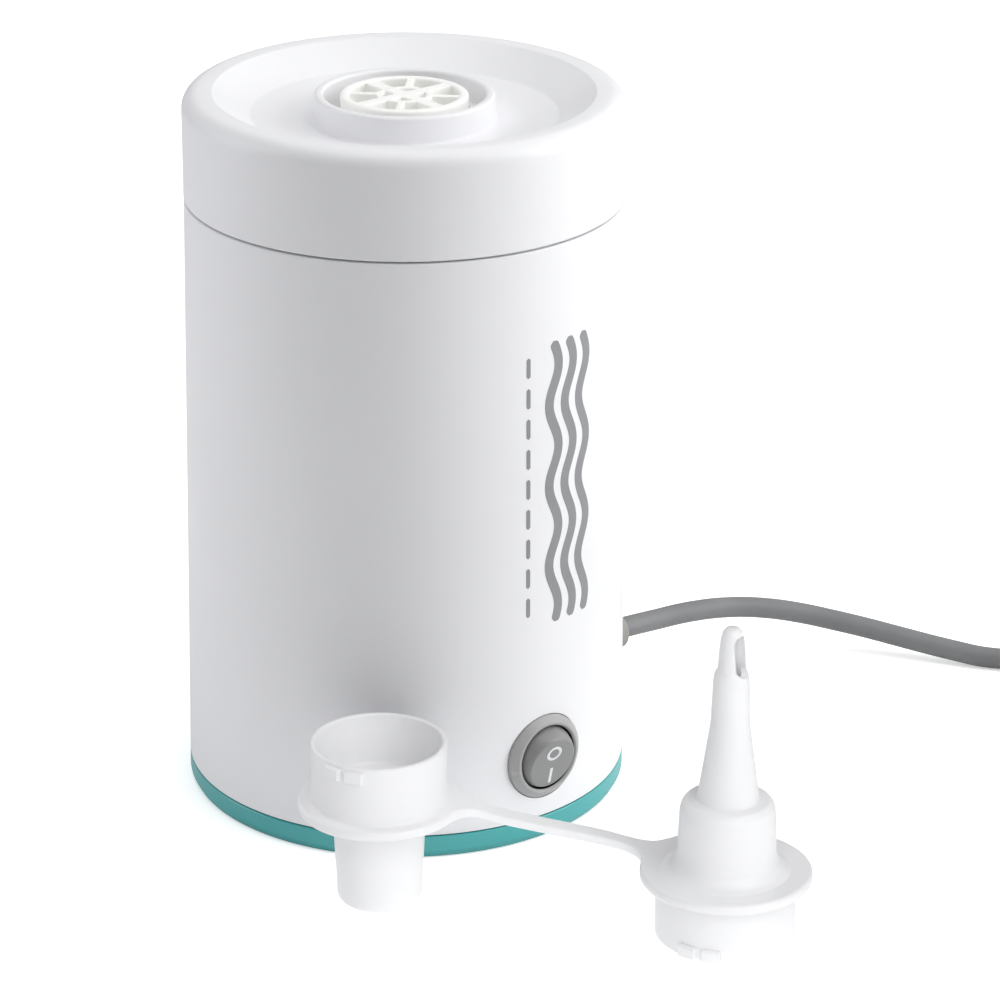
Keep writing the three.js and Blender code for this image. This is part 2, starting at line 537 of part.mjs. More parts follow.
// a lead from the board, up past the fan and over to the motor's end cap
function motorLead({ start, angle, topAngle, end }) {
  const climb = [[51.5, 36], [51.5, 46], [51.5, 58], [49.3, 67], [40, 84], [33, 102]]; // radius, z
  return tube([...start, ...climb.map(([radius, z]) => [...polar(radius, angle), z]),
    [...polar(27, topAngle), 117], end], 0.55, 24, 5);
}
part(pump, 'wire_motor_1', motorLead({
  start: [[12.5, 29.8, 30.3], [18.2, 30.1, 30.1], [22.8, 36, 29.6], [25, 42.6, 31.2]],
  angle: 60.4, topAngle: 57, end: [13.5, 15, 119.6],
}), RED);
part(pump, 'wire_motor_2', motorLead({
  start: [[12.5, 29.8, 27.6], [18.2, 30, 26.8], [21.2, 36.5, 26.4], [22.6, 43, 28.6]],
  angle: 63.8, topAngle: 68, end: [6, 19.2, 119.6],
}), BLACK);

// ---------------------------------------------------------------- nozzle set, one moulding
const NOZZLE_SEGMENTS = 16;
const wideNozzle = () => turned([[8, 0], [9.2, 0], [10.2, 2.2], [11.2, 24], [19.6, 24],
  [19.6, 26.7], [16.3, 26.7], [16.3, 41.5], [15, 41.5], [15, 28.4], [9.3, 27.2]],
NOZZLE_SEGMENTS, at(...WIDE, 0));

const taperedNozzle = () => turned([
  // outside, from the socket end up to the tip
  [15.4, 0], [16.7, 0], [16.7, 14.2], [20.5, 14.2], [20.5, 16.9], [15.2, 16.9], [12.9, 18.2],
  [11.8, 21], [11.4, 32], [10.2, 34.5], [7.9, 35.3], [4.8, 56.5], [4.25, 65.2], [3.3, 68.4],
  [3.2, 77.3], [2.2, 78.8], [0, 79.05],
  // inside, back down
  [0, 77.4], [2, 77.2], [2, 69], [3.2, 60], [6.4, 36], [9.6, 33], [10.4, 19], [15.4, 15.6],
], NOZZLE_SEGMENTS, at(...TAPER, 0));

// two pairs of lugs on opposite sides of a nozzle's wall
const lugs = (place, angle, z, radius) => [-10, 10, 170, 190].map((offset) =>
  block(radius - 0.5, radius + 1.25, -2.35, 2.35, z, z + 3, at(...place, 0, angle + offset)));

// strap from the wide nozzle's flange to the far side of the tapered nozzle's flange
function tether() {
  const end = fromLayout(61.82, -81.81);
  const dx = end[0] - WIDE[0];
  const dy = end[1] - WIDE[1];
  // distance along the strap, height of its centre line
  const centre = [[17.2, 25.35], [19.6, 25.3], [23, 24.6], [27, 23.4], [31, 22.4],
    [39.5, 20.8], [47, 19.5], [54.4, 18.1], [61.4, 16.2], [65, 15.6],
    [Math.hypot(dx, dy) + 0.5, 15.55]];
  const offset = (height) => centre.map(([along, z]) => [along, z + height]);
  const side = shapeOf(between(offset(STRAP_THICKNESS / 2), offset(-STRAP_THICKNESS / 2)));
  const strap = extrude(side, STRAP_WIDTH).translate(0, 0, -STRAP_WIDTH / 2);
  return solid(strap.rotateX(Math.PI / 2), at(...WIDE, 0, radToDeg(Math.atan2(dy, dx))));
}

const tipSlot = block(0, 6, -1.95, 1.95, 66.8, 77, at(...TAPER, 0, -40 - LAYOUT_TURN));
const nozzleSet = cut(join(wideNozzle(), taperedNozzle(), tether(),
  lugs(WIDE, -121 - LAYOUT_TURN, 37.6, 16.3),
  lugs(TAPER, -112 - LAYOUT_TURN, 0.9, 16.7)), tipSlot);
part(pump, 'nozzle_set', nozzleSet, WHITE);

export default pump;
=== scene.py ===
"""Electric air pump with a coiled mains cord and a loose set of nozzles.

The pump stands on z = 0 with its axis on Z. The switch faces -Y and the cord leaves at +X.
The camera looks from above, between -X and -Y. The nozzles lie towards it and the coil to its
right. Lengths are in mm; new_object scales them to metres.
"""
import math

import bmesh
import bpy
from mathutils import Matrix, Vector


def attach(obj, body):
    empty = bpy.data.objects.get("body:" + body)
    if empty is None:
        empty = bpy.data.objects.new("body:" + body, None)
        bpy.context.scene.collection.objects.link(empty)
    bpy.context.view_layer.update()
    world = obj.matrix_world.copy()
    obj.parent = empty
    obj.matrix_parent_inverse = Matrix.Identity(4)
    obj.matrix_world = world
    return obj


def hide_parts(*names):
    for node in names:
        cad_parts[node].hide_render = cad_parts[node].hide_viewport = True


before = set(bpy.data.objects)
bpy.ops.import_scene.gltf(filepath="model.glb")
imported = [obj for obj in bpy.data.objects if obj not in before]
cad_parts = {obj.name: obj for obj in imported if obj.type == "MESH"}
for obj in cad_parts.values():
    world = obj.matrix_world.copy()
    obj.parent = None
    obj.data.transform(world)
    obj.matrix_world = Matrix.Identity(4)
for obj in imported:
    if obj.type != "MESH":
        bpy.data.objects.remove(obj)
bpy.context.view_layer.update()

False  # nothing is simulated, so a quick build is the same as a full one

MM = 0.001

# ------------------------------------------------------------------ shared dimensions
VIEW_DEGREES = 38.16  # how far the viewing direction is turned from +Y, about Z
VIEW = math.radians(VIEW_DEGREES)
TRAY_BOTTOM, TRAY_TOP = 0.2, 6.0
HOUSING_BOTTOM, HOUSING_TOP = 6.3, 153.65
HOUSING_BOTTOM_RADIUS, HOUSING_TOP_RADIUS = 55.4, 53.9
BASE_SCREW_RADIUS, BASE_SCREW_ANGLES = 44.5, (60, 180, 300)
FAN_SCREW_RADIUS, FAN_SCREW_ANGLES = 46.6, (90, 210, 330)
FOOT_CIRCLE_RADIUS, FOOT_ANGLES = 45.5, (0, 120, 240)
SWITCH_Z = 22.3
SWITCH_REACH = 55.2  # from the pump axis to the outer edge of the bezel
PIVOT_DEPTH = 1.46  # rocker pivot, behind that edge
CORD_Z, CORD_RADIUS = 17.8, 2.8
WIDE_NOZZLE = (-51.5, -54.9)
TAPER_NOZZLE = (1.45, -120.2)


def from_view(x, y):
    """Turns a place given to the right of and away from the camera into the pump's frame."""
    c, s = math.cos(VIEW), math.sin(VIEW)
    return (x * c + y * s, -x * s + y * c)


def housing_radius(z):
    """Outer radius of the tapered housing."""
    taper = HOUSING_TOP_RADIUS - HOUSING_BOTTOM_RADIUS
    return HOUSING_BOTTOM_RADIUS + taper * (z - HOUSING_BOTTOM) / (HOUSING_TOP - HOUSING_BOTTOM)


# ------------------------------------------------------------------ shader building
def connect(tree, socket, value):
    """Links an output socket to an input, or sets the input's value."""
    if isinstance(value, bpy.types.NodeSocket):
        tree.links.new(value, socket)
    else:
        socket.default_value = value


def feed(tree, node, **values):
    """Connects inputs by name, with underscores for spaces."""
    for name, value in values.items():
        connect(tree, node.inputs[name.replace("_", " ")], value)


def add_node(tree, kind, **values):
    node = tree.nodes.new(kind)
    feed(tree, node, **values)
    return node


class Shader:
    """A node material under construction, around one principled surface."""

    def __init__(self, name):
        self.material = bpy.data.materials.new(name)
        self.material.use_nodes = True
        self.tree = self.material.node_tree
        self.tree.nodes.clear()
        self.output = self.node("ShaderNodeOutputMaterial")
        self.surface = self.node("ShaderNodeBsdfPrincipled")
        connect(self.tree, self.output.inputs[0], self.surface.outputs[0])
        self.coords = self.node("ShaderNodeTexCoord").outputs

    def node(self, kind, **values):
        return add_node(self.tree, kind, **values)

    def noise(self, scale, detail=3.0, roughness=0.5, vector=None):
        return self.node(
            "ShaderNodeTexNoise", Scale=scale, Detail=detail, Roughness=roughness,
            Distortion=0.0, Vector=vector or self.coords["Object"],
        ).outputs["Fac"]

    def wave(self, direction, **values):
        wave = self.node("ShaderNodeTexWave", Vector=self.coords["Object"], **values)
        wave.bands_direction = direction
        return wave.outputs["Fac"]

    def span(self, value, start, end, low=0.0, high=1.0):
        """Maps start..end to low..high, clamped."""
        return self.node(
            "ShaderNodeMapRange", From_Min=start, From_Max=end, To_Min=low, To_Max=high,
            Value=value,
        ).outputs["Result"]

    def mix(self, factor, first, second):
        node = self.tree.nodes.new("ShaderNodeMix")
        node.data_type = "RGBA"
        color_a, color_b = node.inputs[6], node.inputs[7]
        connect(self.tree, node.inputs["Factor"], factor)
        connect(self.tree, color_a, first)
        connect(self.tree, color_b, second)
        return node.outputs[2]

    def calc(self, operation, first, second):
        node = self.tree.nodes.new("ShaderNodeMath")
        node.operation = operation
        connect(self.tree, node.inputs[0], first)
        connect(self.tree, node.inputs[1], second)
        return node.outputs[0]

    def finish(self, color, roughness, height=None, strength=0.0, depth=0.0, edge=None, **inputs):
        """Feeds the surface; depth and edge (the radius of softened edges) are in metres."""
        normal = {}
        if edge:
            bevel = self.node("ShaderNodeBevel", Radius=edge)
            bevel.samples = 4
            normal["Normal"] = bevel.outputs[0]
        if height is not None:
            bump = self.node(
                "ShaderNodeBump", Strength=strength, Distance=depth, Height=height, **normal)
            normal["Normal"] = bump.outputs[0]
        feed(self.tree, self.surface, Base_Color=color, Roughness=roughness, **normal, **inputs)
        return self.material


def srgb(*channels):
    """Linear colour from 0-255 channels."""
    def linear(c):
        return (c / 255 / 12.92) if c / 255 <= 0.04045 else ((c / 255 + 0.055) / 1.055) ** 2.4
    return (*map(linear, channels), 1.0)


def scaled(color, factor=1.0):
    return (*(x * factor for x in color[:3]), 1.0)


# ------------------------------------------------------------------ materials
def add_painted_glow(shader):
    """Painted glow: emission on the sheltered faces low in the tube, standing in for light through
    the thin white wall.
    """
    full_z, none_z = 176.5 * MM, 184.0 * MM
    reach = 16.2 * MM
    position = shader.node("ShaderNodeNewGeometry").outputs["Position"]
    x, y, z = shader.node("ShaderNodeSeparateXYZ", Vector=position).outputs
    glow = shader.span(z, start=full_z, end=none_z, low=0.12, high=0.0)
    squared = shader.calc("ADD", shader.calc("MULTIPLY", x, x), shader.calc("MULTIPLY", y, y))
    inside = shader.calc("LESS_THAN", squared, reach ** 2)
    feed(shader.tree, shader.surface, Emission_Strength=shader.calc("MULTIPLY", glow, inside),
         Emission_Color=(1.0, 1.0, 0.95, 1.0))


def moulded(name, rgb, roughness, grain, grain_size, drift, specular,
            coat=0.0, scatter=0.0, wear=0.0, edge=0.00022, glow=False):
    """Moulded plastic: slow tone drift, dark specks, worn edges, patchy sheen and fine grain."""
    shader = Shader(name)
    base = srgb(*rgb)
    tone = shader.span(shader.noise(scale=22.0), start=0.35, end=0.65)
    color = shader.mix(tone, base, scaled(base, 1 - drift))
    specks = shader.span(shader.noise(scale=1400.0, detail=2.0), start=0.62, end=0.75, high=0.25)
    color = shader.mix(specks, color, scaled(base, 1 - 3 * drift))
    if wear:
        pointiness = shader.node("ShaderNodeNewGeometry").outputs["Pointiness"]
        worn = (*(min(1.0, x * 1.25 + 0.03) for x in base[:3]), 1.0)
        color = shader.mix(shader.span(pointiness, start=0.52, end=0.60, high=wear), color, worn)
    patches = shader.noise(scale=60.0, detail=4.0, roughness=0.6)
    sheen = shader.span(patches, start=0.3, end=0.7, low=roughness - 0.04, high=roughness + 0.05)
    fine = shader.noise(scale=1.0 / (grain_size * MM), roughness=0.65)
    flow = shader.noise(scale=90.0, detail=2.0)
    height = shader.calc(
        "ADD", shader.calc("MULTIPLY", fine, 1.0), shader.calc("MULTIPLY", flow, 0.35))
    extra = {}
    if coat:
        extra.update(Coat_Weight=coat, Coat_Roughness=0.12)
    if scatter:
        extra.update(Subsurface_Weight=scatter, Subsurface_Scale=0.004,
                     Subsurface_Radius=(1.0, 0.95, 0.9))
    shader.finish(color, sheen, height, strength=grain, depth=0.00006, edge=edge,
                  Specular_IOR_Level=specular, **extra)
    # glow adds painted light: emission low in the tube in place of light through the wall
    if glow:
        add_painted_glow(shader)
    return shader.material


def metal(name, color, roughness, stretch, bump, stain):
    """Bare or plated metal with streaks and faint blotches."""
    shader = Shader(name)
    base = scaled(color)
    mapping = shader.node("ShaderNodeMapping", Scale=stretch, Vector=shader.coords["Object"])
    streak = shader.noise(scale=1.0, detail=4.0, roughness=0.6, vector=mapping.outputs[0])
    blotch = shader.noise(scale=120.0, detail=4.0)
    color = shader.mix(
        shader.span(blotch, start=0.3, end=0.7), base, scaled(base, 1 - 4 * stain))
    sheen = shader.calc(
        "ADD",
        shader.span(streak, start=0.3, end=0.7, low=roughness - 0.08, high=roughness + 0.1),
        shader.span(blotch, start=0.3, end=0.7, high=0.08))
    return shader.finish(color, sheen, streak, strength=bump, depth=0.00003, edge=0.00015,
                         Metallic=1.0)


def laminated(name):
    """Stack of thin steel sheets with a little rust."""
    shader = Shader(name)
    steel = (0.42, 0.42, 0.43, 1.0)
    rust = (0.12, 0.08, 0.05, 1.0)
    sheets = shader.wave("Z", Scale=640.0, Distortion=0.15, Detail=1.0)
    blotch = shader.noise(scale=200.0)
    color = shader.mix(shader.span(sheets, start=0.1, end=0.6), scaled(steel, 0.45), steel)
    color = shader.mix(shader.span(blotch, start=0.4, end=0.7, high=0.35), color, rust)
    return shader.finish(color, roughness=0.42, height=sheets, strength=0.5, depth=0.0001,
                         Metallic=0.9)


def wound(name):
    """Enamelled copper turns."""
    shader = Shader(name)
    copper = (0.62, 0.24, 0.09, 1.0)
    turns = shader.wave("DIAGONAL", Scale=520.0, Distortion=1.2, Detail=2.0, Detail_Scale=1.5)
    color = shader.mix(shader.span(turns, start=0.1, end=0.8), scaled(copper, 0.3), copper)
    return shader.finish(color, roughness=0.3, height=turns, strength=0.8, depth=0.0002,
                         Metallic=0.8, Coat_Weight=0.5)


def circuit_board(name):
    """Green board with raised tracks and a faint glass weave."""
    shader = Shader(name)
    cells = shader.node("ShaderNodeTexVoronoi", Scale=260.0, Vector=shader.coords["Object"])
    cells.feature = "DISTANCE_TO_EDGE"
    track = shader.span(cells.outputs["Distance"], start=0.04, end=0.09, low=1.0, high=0.0)
    weave = shader.noise(scale=900.0, detail=2.0)
    color = shader.mix(track, (0.02, 0.12, 0.05, 1.0), (0.05, 0.22, 0.09, 1.0))
    color = shader.mix(
        shader.span(weave, start=0.45, end=0.7, high=0.2), color, (0.12, 0.3, 0.16, 1.0))
    return shader.finish(color, roughness=0.35, height=track, strength=0.3, depth=0.00005,
                         Coat_Weight=0.3)


def cord_sheath(name):
    """Grey cable sheath: faint lengthwise lines, soft sheen, slight scuffing."""
    shader = Shader(name)
    base = srgb(134, 135, 136)
    along = shader.node(
        "ShaderNodeMapping", Scale=(60.0, 3.0, 1.0), Vector=shader.coords["UV"]).outputs[0]
    lines = shader.noise(scale=1.0, detail=2.0, vector=along)
    blotch = shader.noise(scale=70.0, detail=4.0)
    fine = shader.noise(scale=2200.0, detail=2.0)
    color = shader.mix(shader.span(blotch, start=0.3, end=0.7), base, scaled(base, 0.88))
    color = shader.mix(
        shader.span(lines, start=0.5, end=0.75, high=0.25), color, scaled(base, 1.18))
    sheen = shader.span(blotch, start=0.3, end=0.7, low=0.42, high=0.54)
    height = shader.calc(
        "ADD", shader.calc("MULTIPLY", lines, 0.6), shader.calc("MULTIPLY", fine, 0.5))
    return shader.finish(color, sheen, height, strength=0.12, depth=0.00008,
                         Specular_IOR_Level=0.4)


# sRGB colour, roughness, grain strength, grain size in mm, tone drift, specular, other settings
PLASTICS = {
    "white_shell_plastic": ((246, 246, 248), 0.36, 0.05, 0.5, 0.012, 0.42, dict(coat=0.05)),
    "white_polyethylene": (
        (249, 249, 250), 0.32, 0.05, 0.6, 0.012, 0.42, dict(scatter=0.12, edge=0.0003)),
    # the grille's glow is painted light: emission low in the tube, though it is no lamp
    "white_grille_plastic": (
        (252, 252, 249), 0.38, 0.05, 0.4, 0.012, 0.42, dict(scatter=0.10, glow=True)),
    "teal_base_plastic": ((40, 170, 170), 0.45, 0.08, 0.3, 0.03, 1.0, dict(coat=0.5, wear=0.1)),
    "switch_bezel_plastic": ((176, 176, 175), 0.42, 0.16, 0.18, 0.03, 0.45, dict(wear=0.35)),
    "switch_rocker_plastic": ((145, 145, 145), 0.36, 0.12, 0.16, 0.03, 0.5, dict(wear=0.35)),
    "switch_mark_ink": ((236, 237, 238), 0.5, 0.1, 0.15, 0.02, 0.4, {}),
    "printed_mark_ink": ((150, 151, 153), 0.5, 0.08, 0.2, 0.04, 0.3, dict(edge=None)),
    "boot_soft_grey": ((156, 155, 149), 0.5, 0.2, 0.25, 0.04, 0.35, {}),
    "black_rubber": ((38, 39, 41), 0.72, 0.5, 0.25, 0.1, 0.25, {}),
    "black_moulded": ((36, 37, 39), 0.45, 0.3, 0.2, 0.08, 0.4, dict(wear=0.3)),
    "inner_moulding": ((214, 214, 212), 0.5, 0.2, 0.4, 0.05, 0.4, {}),
    "fan_moulding": ((226, 225, 216), 0.42, 0.15, 0.4, 0.05, 0.4, {}),
    "carbon_block": ((44, 43, 43), 0.75, 0.9, 0.15, 0.2, 0.2, {}),
    "ferrite_block": ((58, 58, 60), 0.62, 0.8, 0.2, 0.15, 0.3, {}),
    "wire_red_sleeve": ((170, 38, 32), 0.42, 0.2, 0.3, 0.06, 0.4, {}),
    "wire_blue_sleeve": ((38, 78, 158), 0.42, 0.2, 0.3, 0.06, 0.4, {}),
}
# linear colour, roughness, streak scale on x, y and z, bump strength, stain
METALS = {
    "zinc_plated_steel": ((0.56, 0.57, 0.59), 0.32, (900, 900, 60), 0.15, 0.06),
    "plated_blade": ((0.74, 0.70, 0.60), 0.24, (500, 500, 500), 0.08, 0.03),
    "sintered_bronze": ((0.48, 0.31, 0.13), 0.45, (600, 600, 600), 0.4, 0.1),
    "copper_contact": ((0.66, 0.30, 0.13), 0.3, (900, 900, 60), 0.15, 0.06),
}
MATERIALS = {name: moulded(name, *row[:-1], **row[-1]) for name, row in PLASTICS.items()}
MATERIALS.update({name: metal(name, *row) for name, row in METALS.items()})
for name, make in (("lamination_stack", laminated), ("enamelled_winding", wound),
                   ("solder_masked_board", circuit_board), ("cord_sheath", cord_sheath)):
    MATERIALS[name] = make(name)


# ------------------------------------------------------------------ placing
def about(axis, degrees):
    return Matrix.Rotation(math.radians(degrees), 4, axis)


def shift(x, y, z):
    return Matrix.Translation((x, y, z))


def around(degrees, radius=0.0):
    """Turned about Z, then moved out by radius."""
    return about("Z", degrees) @ shift(radius, 0, 0)


IN_PLACE = Matrix()
VIEW_TURN = about("Z", -VIEW_DEGREES)
SWITCH_AXIS = shift(0, 0, SWITCH_Z) @ about("X", 90)  # local +Z points along -Y
CORD_AXIS = shift(0, 0, CORD_Z) @ about("Y", 90)  # local +Z points along +X


# ------------------------------------------------------------------ outlines
def arc(radius, angles, x=0, y=0):
    """Points of a circle about (x, y) at angles in degrees."""
    return [(x + radius * math.cos(math.radians(a)), y + radius * math.sin(math.radians(a)))
            for a in angles]


def fillet(points, steps=5):
    """Rounds the corners of a closed outline; each point is (x, y) or (x, y, radius)."""
    out = []
    for i, point in enumerate(points):
        radius = point[2] if len(point) > 2 else 0
        if not radius:
            out.append(point[:2])
            continue
        x, y = point[:2]
        before, after = points[i - 1], points[(i + 1) % len(points)]
        back = Vector((before[0] - x, before[1] - y))
        ahead = Vector((after[0] - x, after[1] - y))
        back_length, ahead_length = back.length, ahead.length
        back.normalize()
        ahead.normalize()
        angle = math.acos(max(-1, min(1, back.dot(ahead))))
        if angle > math.pi - 0.02:  # all but straight
            out.append((x, y))
            continue
        # the round takes up less than half of either side
        trim = min(radius / math.tan(angle / 2), back_length * 0.49, ahead_length * 0.49)
        radius = trim * math.tan(angle / 2)
        middle = (back + ahead).normalized()
        centre = Vector((x, y)) + middle * (radius / math.sin(angle / 2))
        start = Vector((x, y)) + back * trim - centre
        end = Vector((x, y)) + ahead * trim - centre
        sweep = start.angle_signed(end)
        for j in range(steps + 1):
            spoke = start.copy()
            spoke.rotate(Matrix.Rotation(-sweep * j / steps, 2))
            out.append((centre.x + spoke.x, centre.y + spoke.y))
    return out


def densify(points, step, rounding=math.floor):
    """Divides the sides of a closed outline into even parts of about one step."""
    out = []
    for (ax, ay), (bx, by) in zip(points, points[1:] + points[:1]):
        count = max(1, rounding(math.hypot(bx - ax, by - ay) / step))
        out += [(ax + (bx - ax) * i / count, ay + (by - ay) * i / count) for i in range(count)]
    return out


# ------------------------------------------------------------------ solids
def placed(bm, matrix):
    bmesh.ops.transform(bm, matrix=matrix, verts=bm.verts)
    return bm


def bridge(bm, rings):
    """Joins each closed ring of vertices to the next."""
    for low, high in zip(rings, rings[1:]):
        for i in range(len(low)):
            j = (i + 1) % len(low)
            bm.faces.new((low[i], low[j], high[j], high[i]))


def lathe(profile, segments=128, matrix=IN_PLACE):
    """Turns a closed (radius, z) profile about Z; a point on the axis becomes a pole."""
    bm = bmesh.new()
    rings = []
    for r, z in profile:
        if r < 1e-5:
            rings.append([bm.verts.new((0, 0, z))])
            continue
        angles = [2 * math.pi * i / segments for i in range(segments)]
        rings.append([bm.verts.new((r * math.cos(a), r * math.sin(a), z)) for a in angles])
    for low, high in zip(rings, rings[1:] + rings[:1]):
        if len(low) == 1 and len(high) == 1:
            continue
        for i in range(segments):
            j = (i + 1) % segments
            if len(low) == 1:
                bm.faces.new((low[0], high[i], high[j]))
            elif len(high) == 1:
                bm.faces.new((low[i], low[j], high[0]))
            else:
                bm.faces.new((low[i], low[j], high[j], high[i]))
    return placed(bm, matrix)


def cylinder(radius, bottom, top, segments, matrix=IN_PLACE):
    return lathe([(0, bottom), (radius, bottom), (radius, top), (0, top)], segments, matrix)


def box(x0, x1, y0, y1, z0, z1, bevel=0.0, segments=2, matrix=IN_PLACE):
    bm = bmesh.new()
    bmesh.ops.create_cube(bm, size=1)
    bmesh.ops.scale(bm, vec=(x1 - x0, y1 - y0, z1 - z0), verts=bm.verts)
    centre = ((x0 + x1) / 2, (y0 + y1) / 2, (z0 + z1) / 2)
    bmesh.ops.translate(bm, vec=centre, verts=bm.verts)
    if bevel:
        bmesh.ops.bevel(bm, geom=list(bm.edges), offset=bevel, segments=segments,
                        affect="EDGES", profile=0.5)
    return placed(bm, matrix)


def prism(points, z0, z1, matrix=IN_PLACE):
    bm = bmesh.new()
    low = [bm.verts.new((x, y, z0)) for x, y in points]
    high = [bm.verts.new((x, y, z1)) for x, y in points]
    bm.faces.new(list(reversed(low)))
    bm.faces.new(high)
    bridge(bm, (low, high))
    return placed(bm, matrix)


def pillow(points, z0, z1, radius, steps=6):
    """A prism over a counter-clockwise outline, its top and bottom edges rounded."""
    inward = []
    for i in range(len(points)):
        (ax, ay), (bx, by) = points[i - 1], points[(i + 1) % len(points)]
        length = math.hypot(bx - ax, by - ay)
        inward.append((-(by - ay) / length, (bx - ax) / length))
    angles = [math.pi / 2 * i / steps for i in range(steps + 1)]
    levels = [(radius - radius * math.sin(a), z0 + radius - radius * math.cos(a))
              for a in angles]
    levels += [(inset, z1 + z0 - z) for inset, z in reversed(levels)]
    bm = bmesh.new()
    rings = [[bm.verts.new((x + nx * inset, y + ny * inset, z))
              for (x, y), (nx, ny) in zip(points, inward)] for inset, z in levels]
    bridge(bm, rings)
    bm.faces.new(list(reversed(rings[0])))
    bm.faces.new(rings[-1])
    return bm


def joined(parts):
    """One bmesh holding several separate solids."""
    out = bmesh.new()
    for part in parts:
        mesh = bpy.data.meshes.new("part")
        part.to_mesh(mesh)
        part.free()
        out.from_mesh(mesh)
        bpy.data.meshes.remove(mesh)
    return out


# ------------------------------------------------------------------ objects
def shade(bm, sharp):
    """Smooth faces, with sharp edges above the given angle in degrees."""
    for face in bm.faces:
        face.smooth = True
    for edge in bm.edges:
        folded = len(edge.link_faces) == 2 and edge.calc_face_angle(0) > math.radians(sharp)
        edge.smooth = not folded


def new_object(name, bm, material=None, sharp=32.0):
    """Makes an object in metres from a bmesh in mm; material is a name in MATERIALS."""
    bmesh.ops.scale(bm, vec=(MM,) * 3, verts=bm.verts)
    bmesh.ops.recalc_face_normals(bm, faces=bm.faces)
    shade(bm, sharp)
    mesh = bpy.data.meshes.new(name)
    bm.to_mesh(mesh)
    bm.free()
    obj = bpy.data.objects.new(name, mesh)
    bpy.context.scene.collection.objects.link(obj)
    if material:
        mesh.materials.append(MATERIALS[material])
    return obj


def clean(obj, sharp=32.0):
    """Welds stray vertices and marks the sharp edges afresh."""
    bm = bmesh.new()
    bm.from_mesh(obj.data)
    bmesh.ops.remove_doubles(bm, verts=bm.verts, dist=2e-7)
    bmesh.ops.dissolve_degenerate(bm, edges=bm.edges, dist=1e-7)
    shade(bm, sharp)
    bm.to_mesh(obj.data)
    bm.free()


def apply_modifiers(obj):
    bpy.context.view_layer.update()
    graph = bpy.context.evaluated_depsgraph_get()
    mesh = bpy.data.meshes.new_from_object(
        obj.evaluated_get(graph), preserve_all_data_layers=True, depsgraph=graph)
    obj.modifiers.clear()
    obj.data = mesh


def boolean(obj, tool, operation="DIFFERENCE", use_self=False):
    """Cuts or fuses obj with the tool object, which is used up."""
    modifier = obj.modifiers.new("boolean", "BOOLEAN")
    modifier.operation = operation
    modifier.solver = "EXACT"
    modifier.use_self = use_self
    modifier.object = tool
    old = obj.data
    apply_modifiers(obj)
    obj.data.name = obj.name
    bpy.data.meshes.remove(old)
    bpy.data.objects.remove(tool)
    clean(obj)


def cut(obj, solid):
    boolean(obj, new_object("tool", solid))


def fuse(obj, solid):
    boolean(obj, new_object("tool", solid), "UNION")


def merged(parts):
    """Several overlapping solids as one closed tool object."""
    first = new_object("tool", parts[0])
    boolean(first, new_object("tool", joined(parts[1:])), "UNION", use_self=True)
    return first


def settle_normals(obj, sharp=30):
    """Cleans the mesh and weights its normals by face area."""
    clean(obj, sharp)
    modifier = obj.modifiers.new("weighted", "WEIGHTED_NORMAL")
    modifier.keep_sharp = True
    modifier.weight = 50
    apply_modifiers(obj)


def dress(obj, body, slot, *nodes):
    """Tells the frame which body carries obj and hides the CAD pieces it replaces; slot is not
    used.
    """
    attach(obj, body)
    if nodes:
        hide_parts(*nodes)


# ------------------------------------------------------------------ main housing
def build_housing():
    wall = 2.4
    bottom, top = HOUSING_BOTTOM, HOUSING_TOP
    wall_profile = fillet([
        (housing_radius(bottom), bottom, 0.35), (housing_radius(top), top, 0.45),
        (housing_radius(top) - wall, top, 0.2), (housing_radius(38) - wall, 38),
        (48.8, 38, 0.3), (48.8, 36, 0.3),  # ledge
        (housing_radius(35) - wall, 34.6), (housing_radius(bottom) - wall, bottom, 0.2)])
    housing = new_object("housing_shell", lathe(wall_profile, 224), "white_shell_plastic")
    additions = [cylinder(13.4, 51.0, 53.4, 96, SWITCH_AXIS)]
    # base screw bosses, ribbed to the wall
    boss = [(0, 19.5), (1.65, 19.5), (1.65, 6.3, 0.2), (4, 6.3, 0.4), (4, 22, 0.5), (0, 22)]
    for angle in BASE_SCREW_ANGLES:
        additions += [
            lathe(fillet(boss, 2), 40, around(angle, BASE_SCREW_RADIUS)),
            box(46.9, 53.4, -1.5, 1.5, 11.4, 21.8, 0.2, 1, around(angle))]
    # fan screw bosses under the ledge with their ribs, and the ribs that hold the motor bracket
    boss = [(0, 29.5), (1.6, 29.5), (1.6, 38, 0.15), (3.6, 38, 0.2), (3.6, 28, 0.5), (0, 28)]
    for angle in FAN_SCREW_ANGLES:
        additions += [
            lathe(fillet(boss, 2), 40, around(angle, FAN_SCREW_RADIUS)),
            box(48.6, 53, -1.5, 1.5, 28.2, 37, 0.2, 1, around(angle)),
            box(49, 52.6, -3.5, 3.5, 97, 105.6, 0.35, 2, around(angle))]
    boolean(housing, merged(additions), "UNION")
    # flat switch seat with a rounded mouth, the cord hole and a notch in the ledge
    seat = fillet([(0, 45), (10.15, 45), (10.15, 54.0), (11.1, 54.0, 0.2), (11.1, 60), (0, 60)], 3)
    cut(housing, joined([
        lathe(seat, 160, SWITCH_AXIS), cylinder(4.3, 47, 60, 64, CORD_AXIS),
        box(47, 52.35, -3.2, 3.2, 33, 39, matrix=around(62))]))
    settle_normals(housing)
    dress(housing, "pump_body", "white_shell", "main_housing")


# ------------------------------------------------------------------ printed mark
INK_DEPTHS = (-0.12, 0.05)  # under and over the housing surface


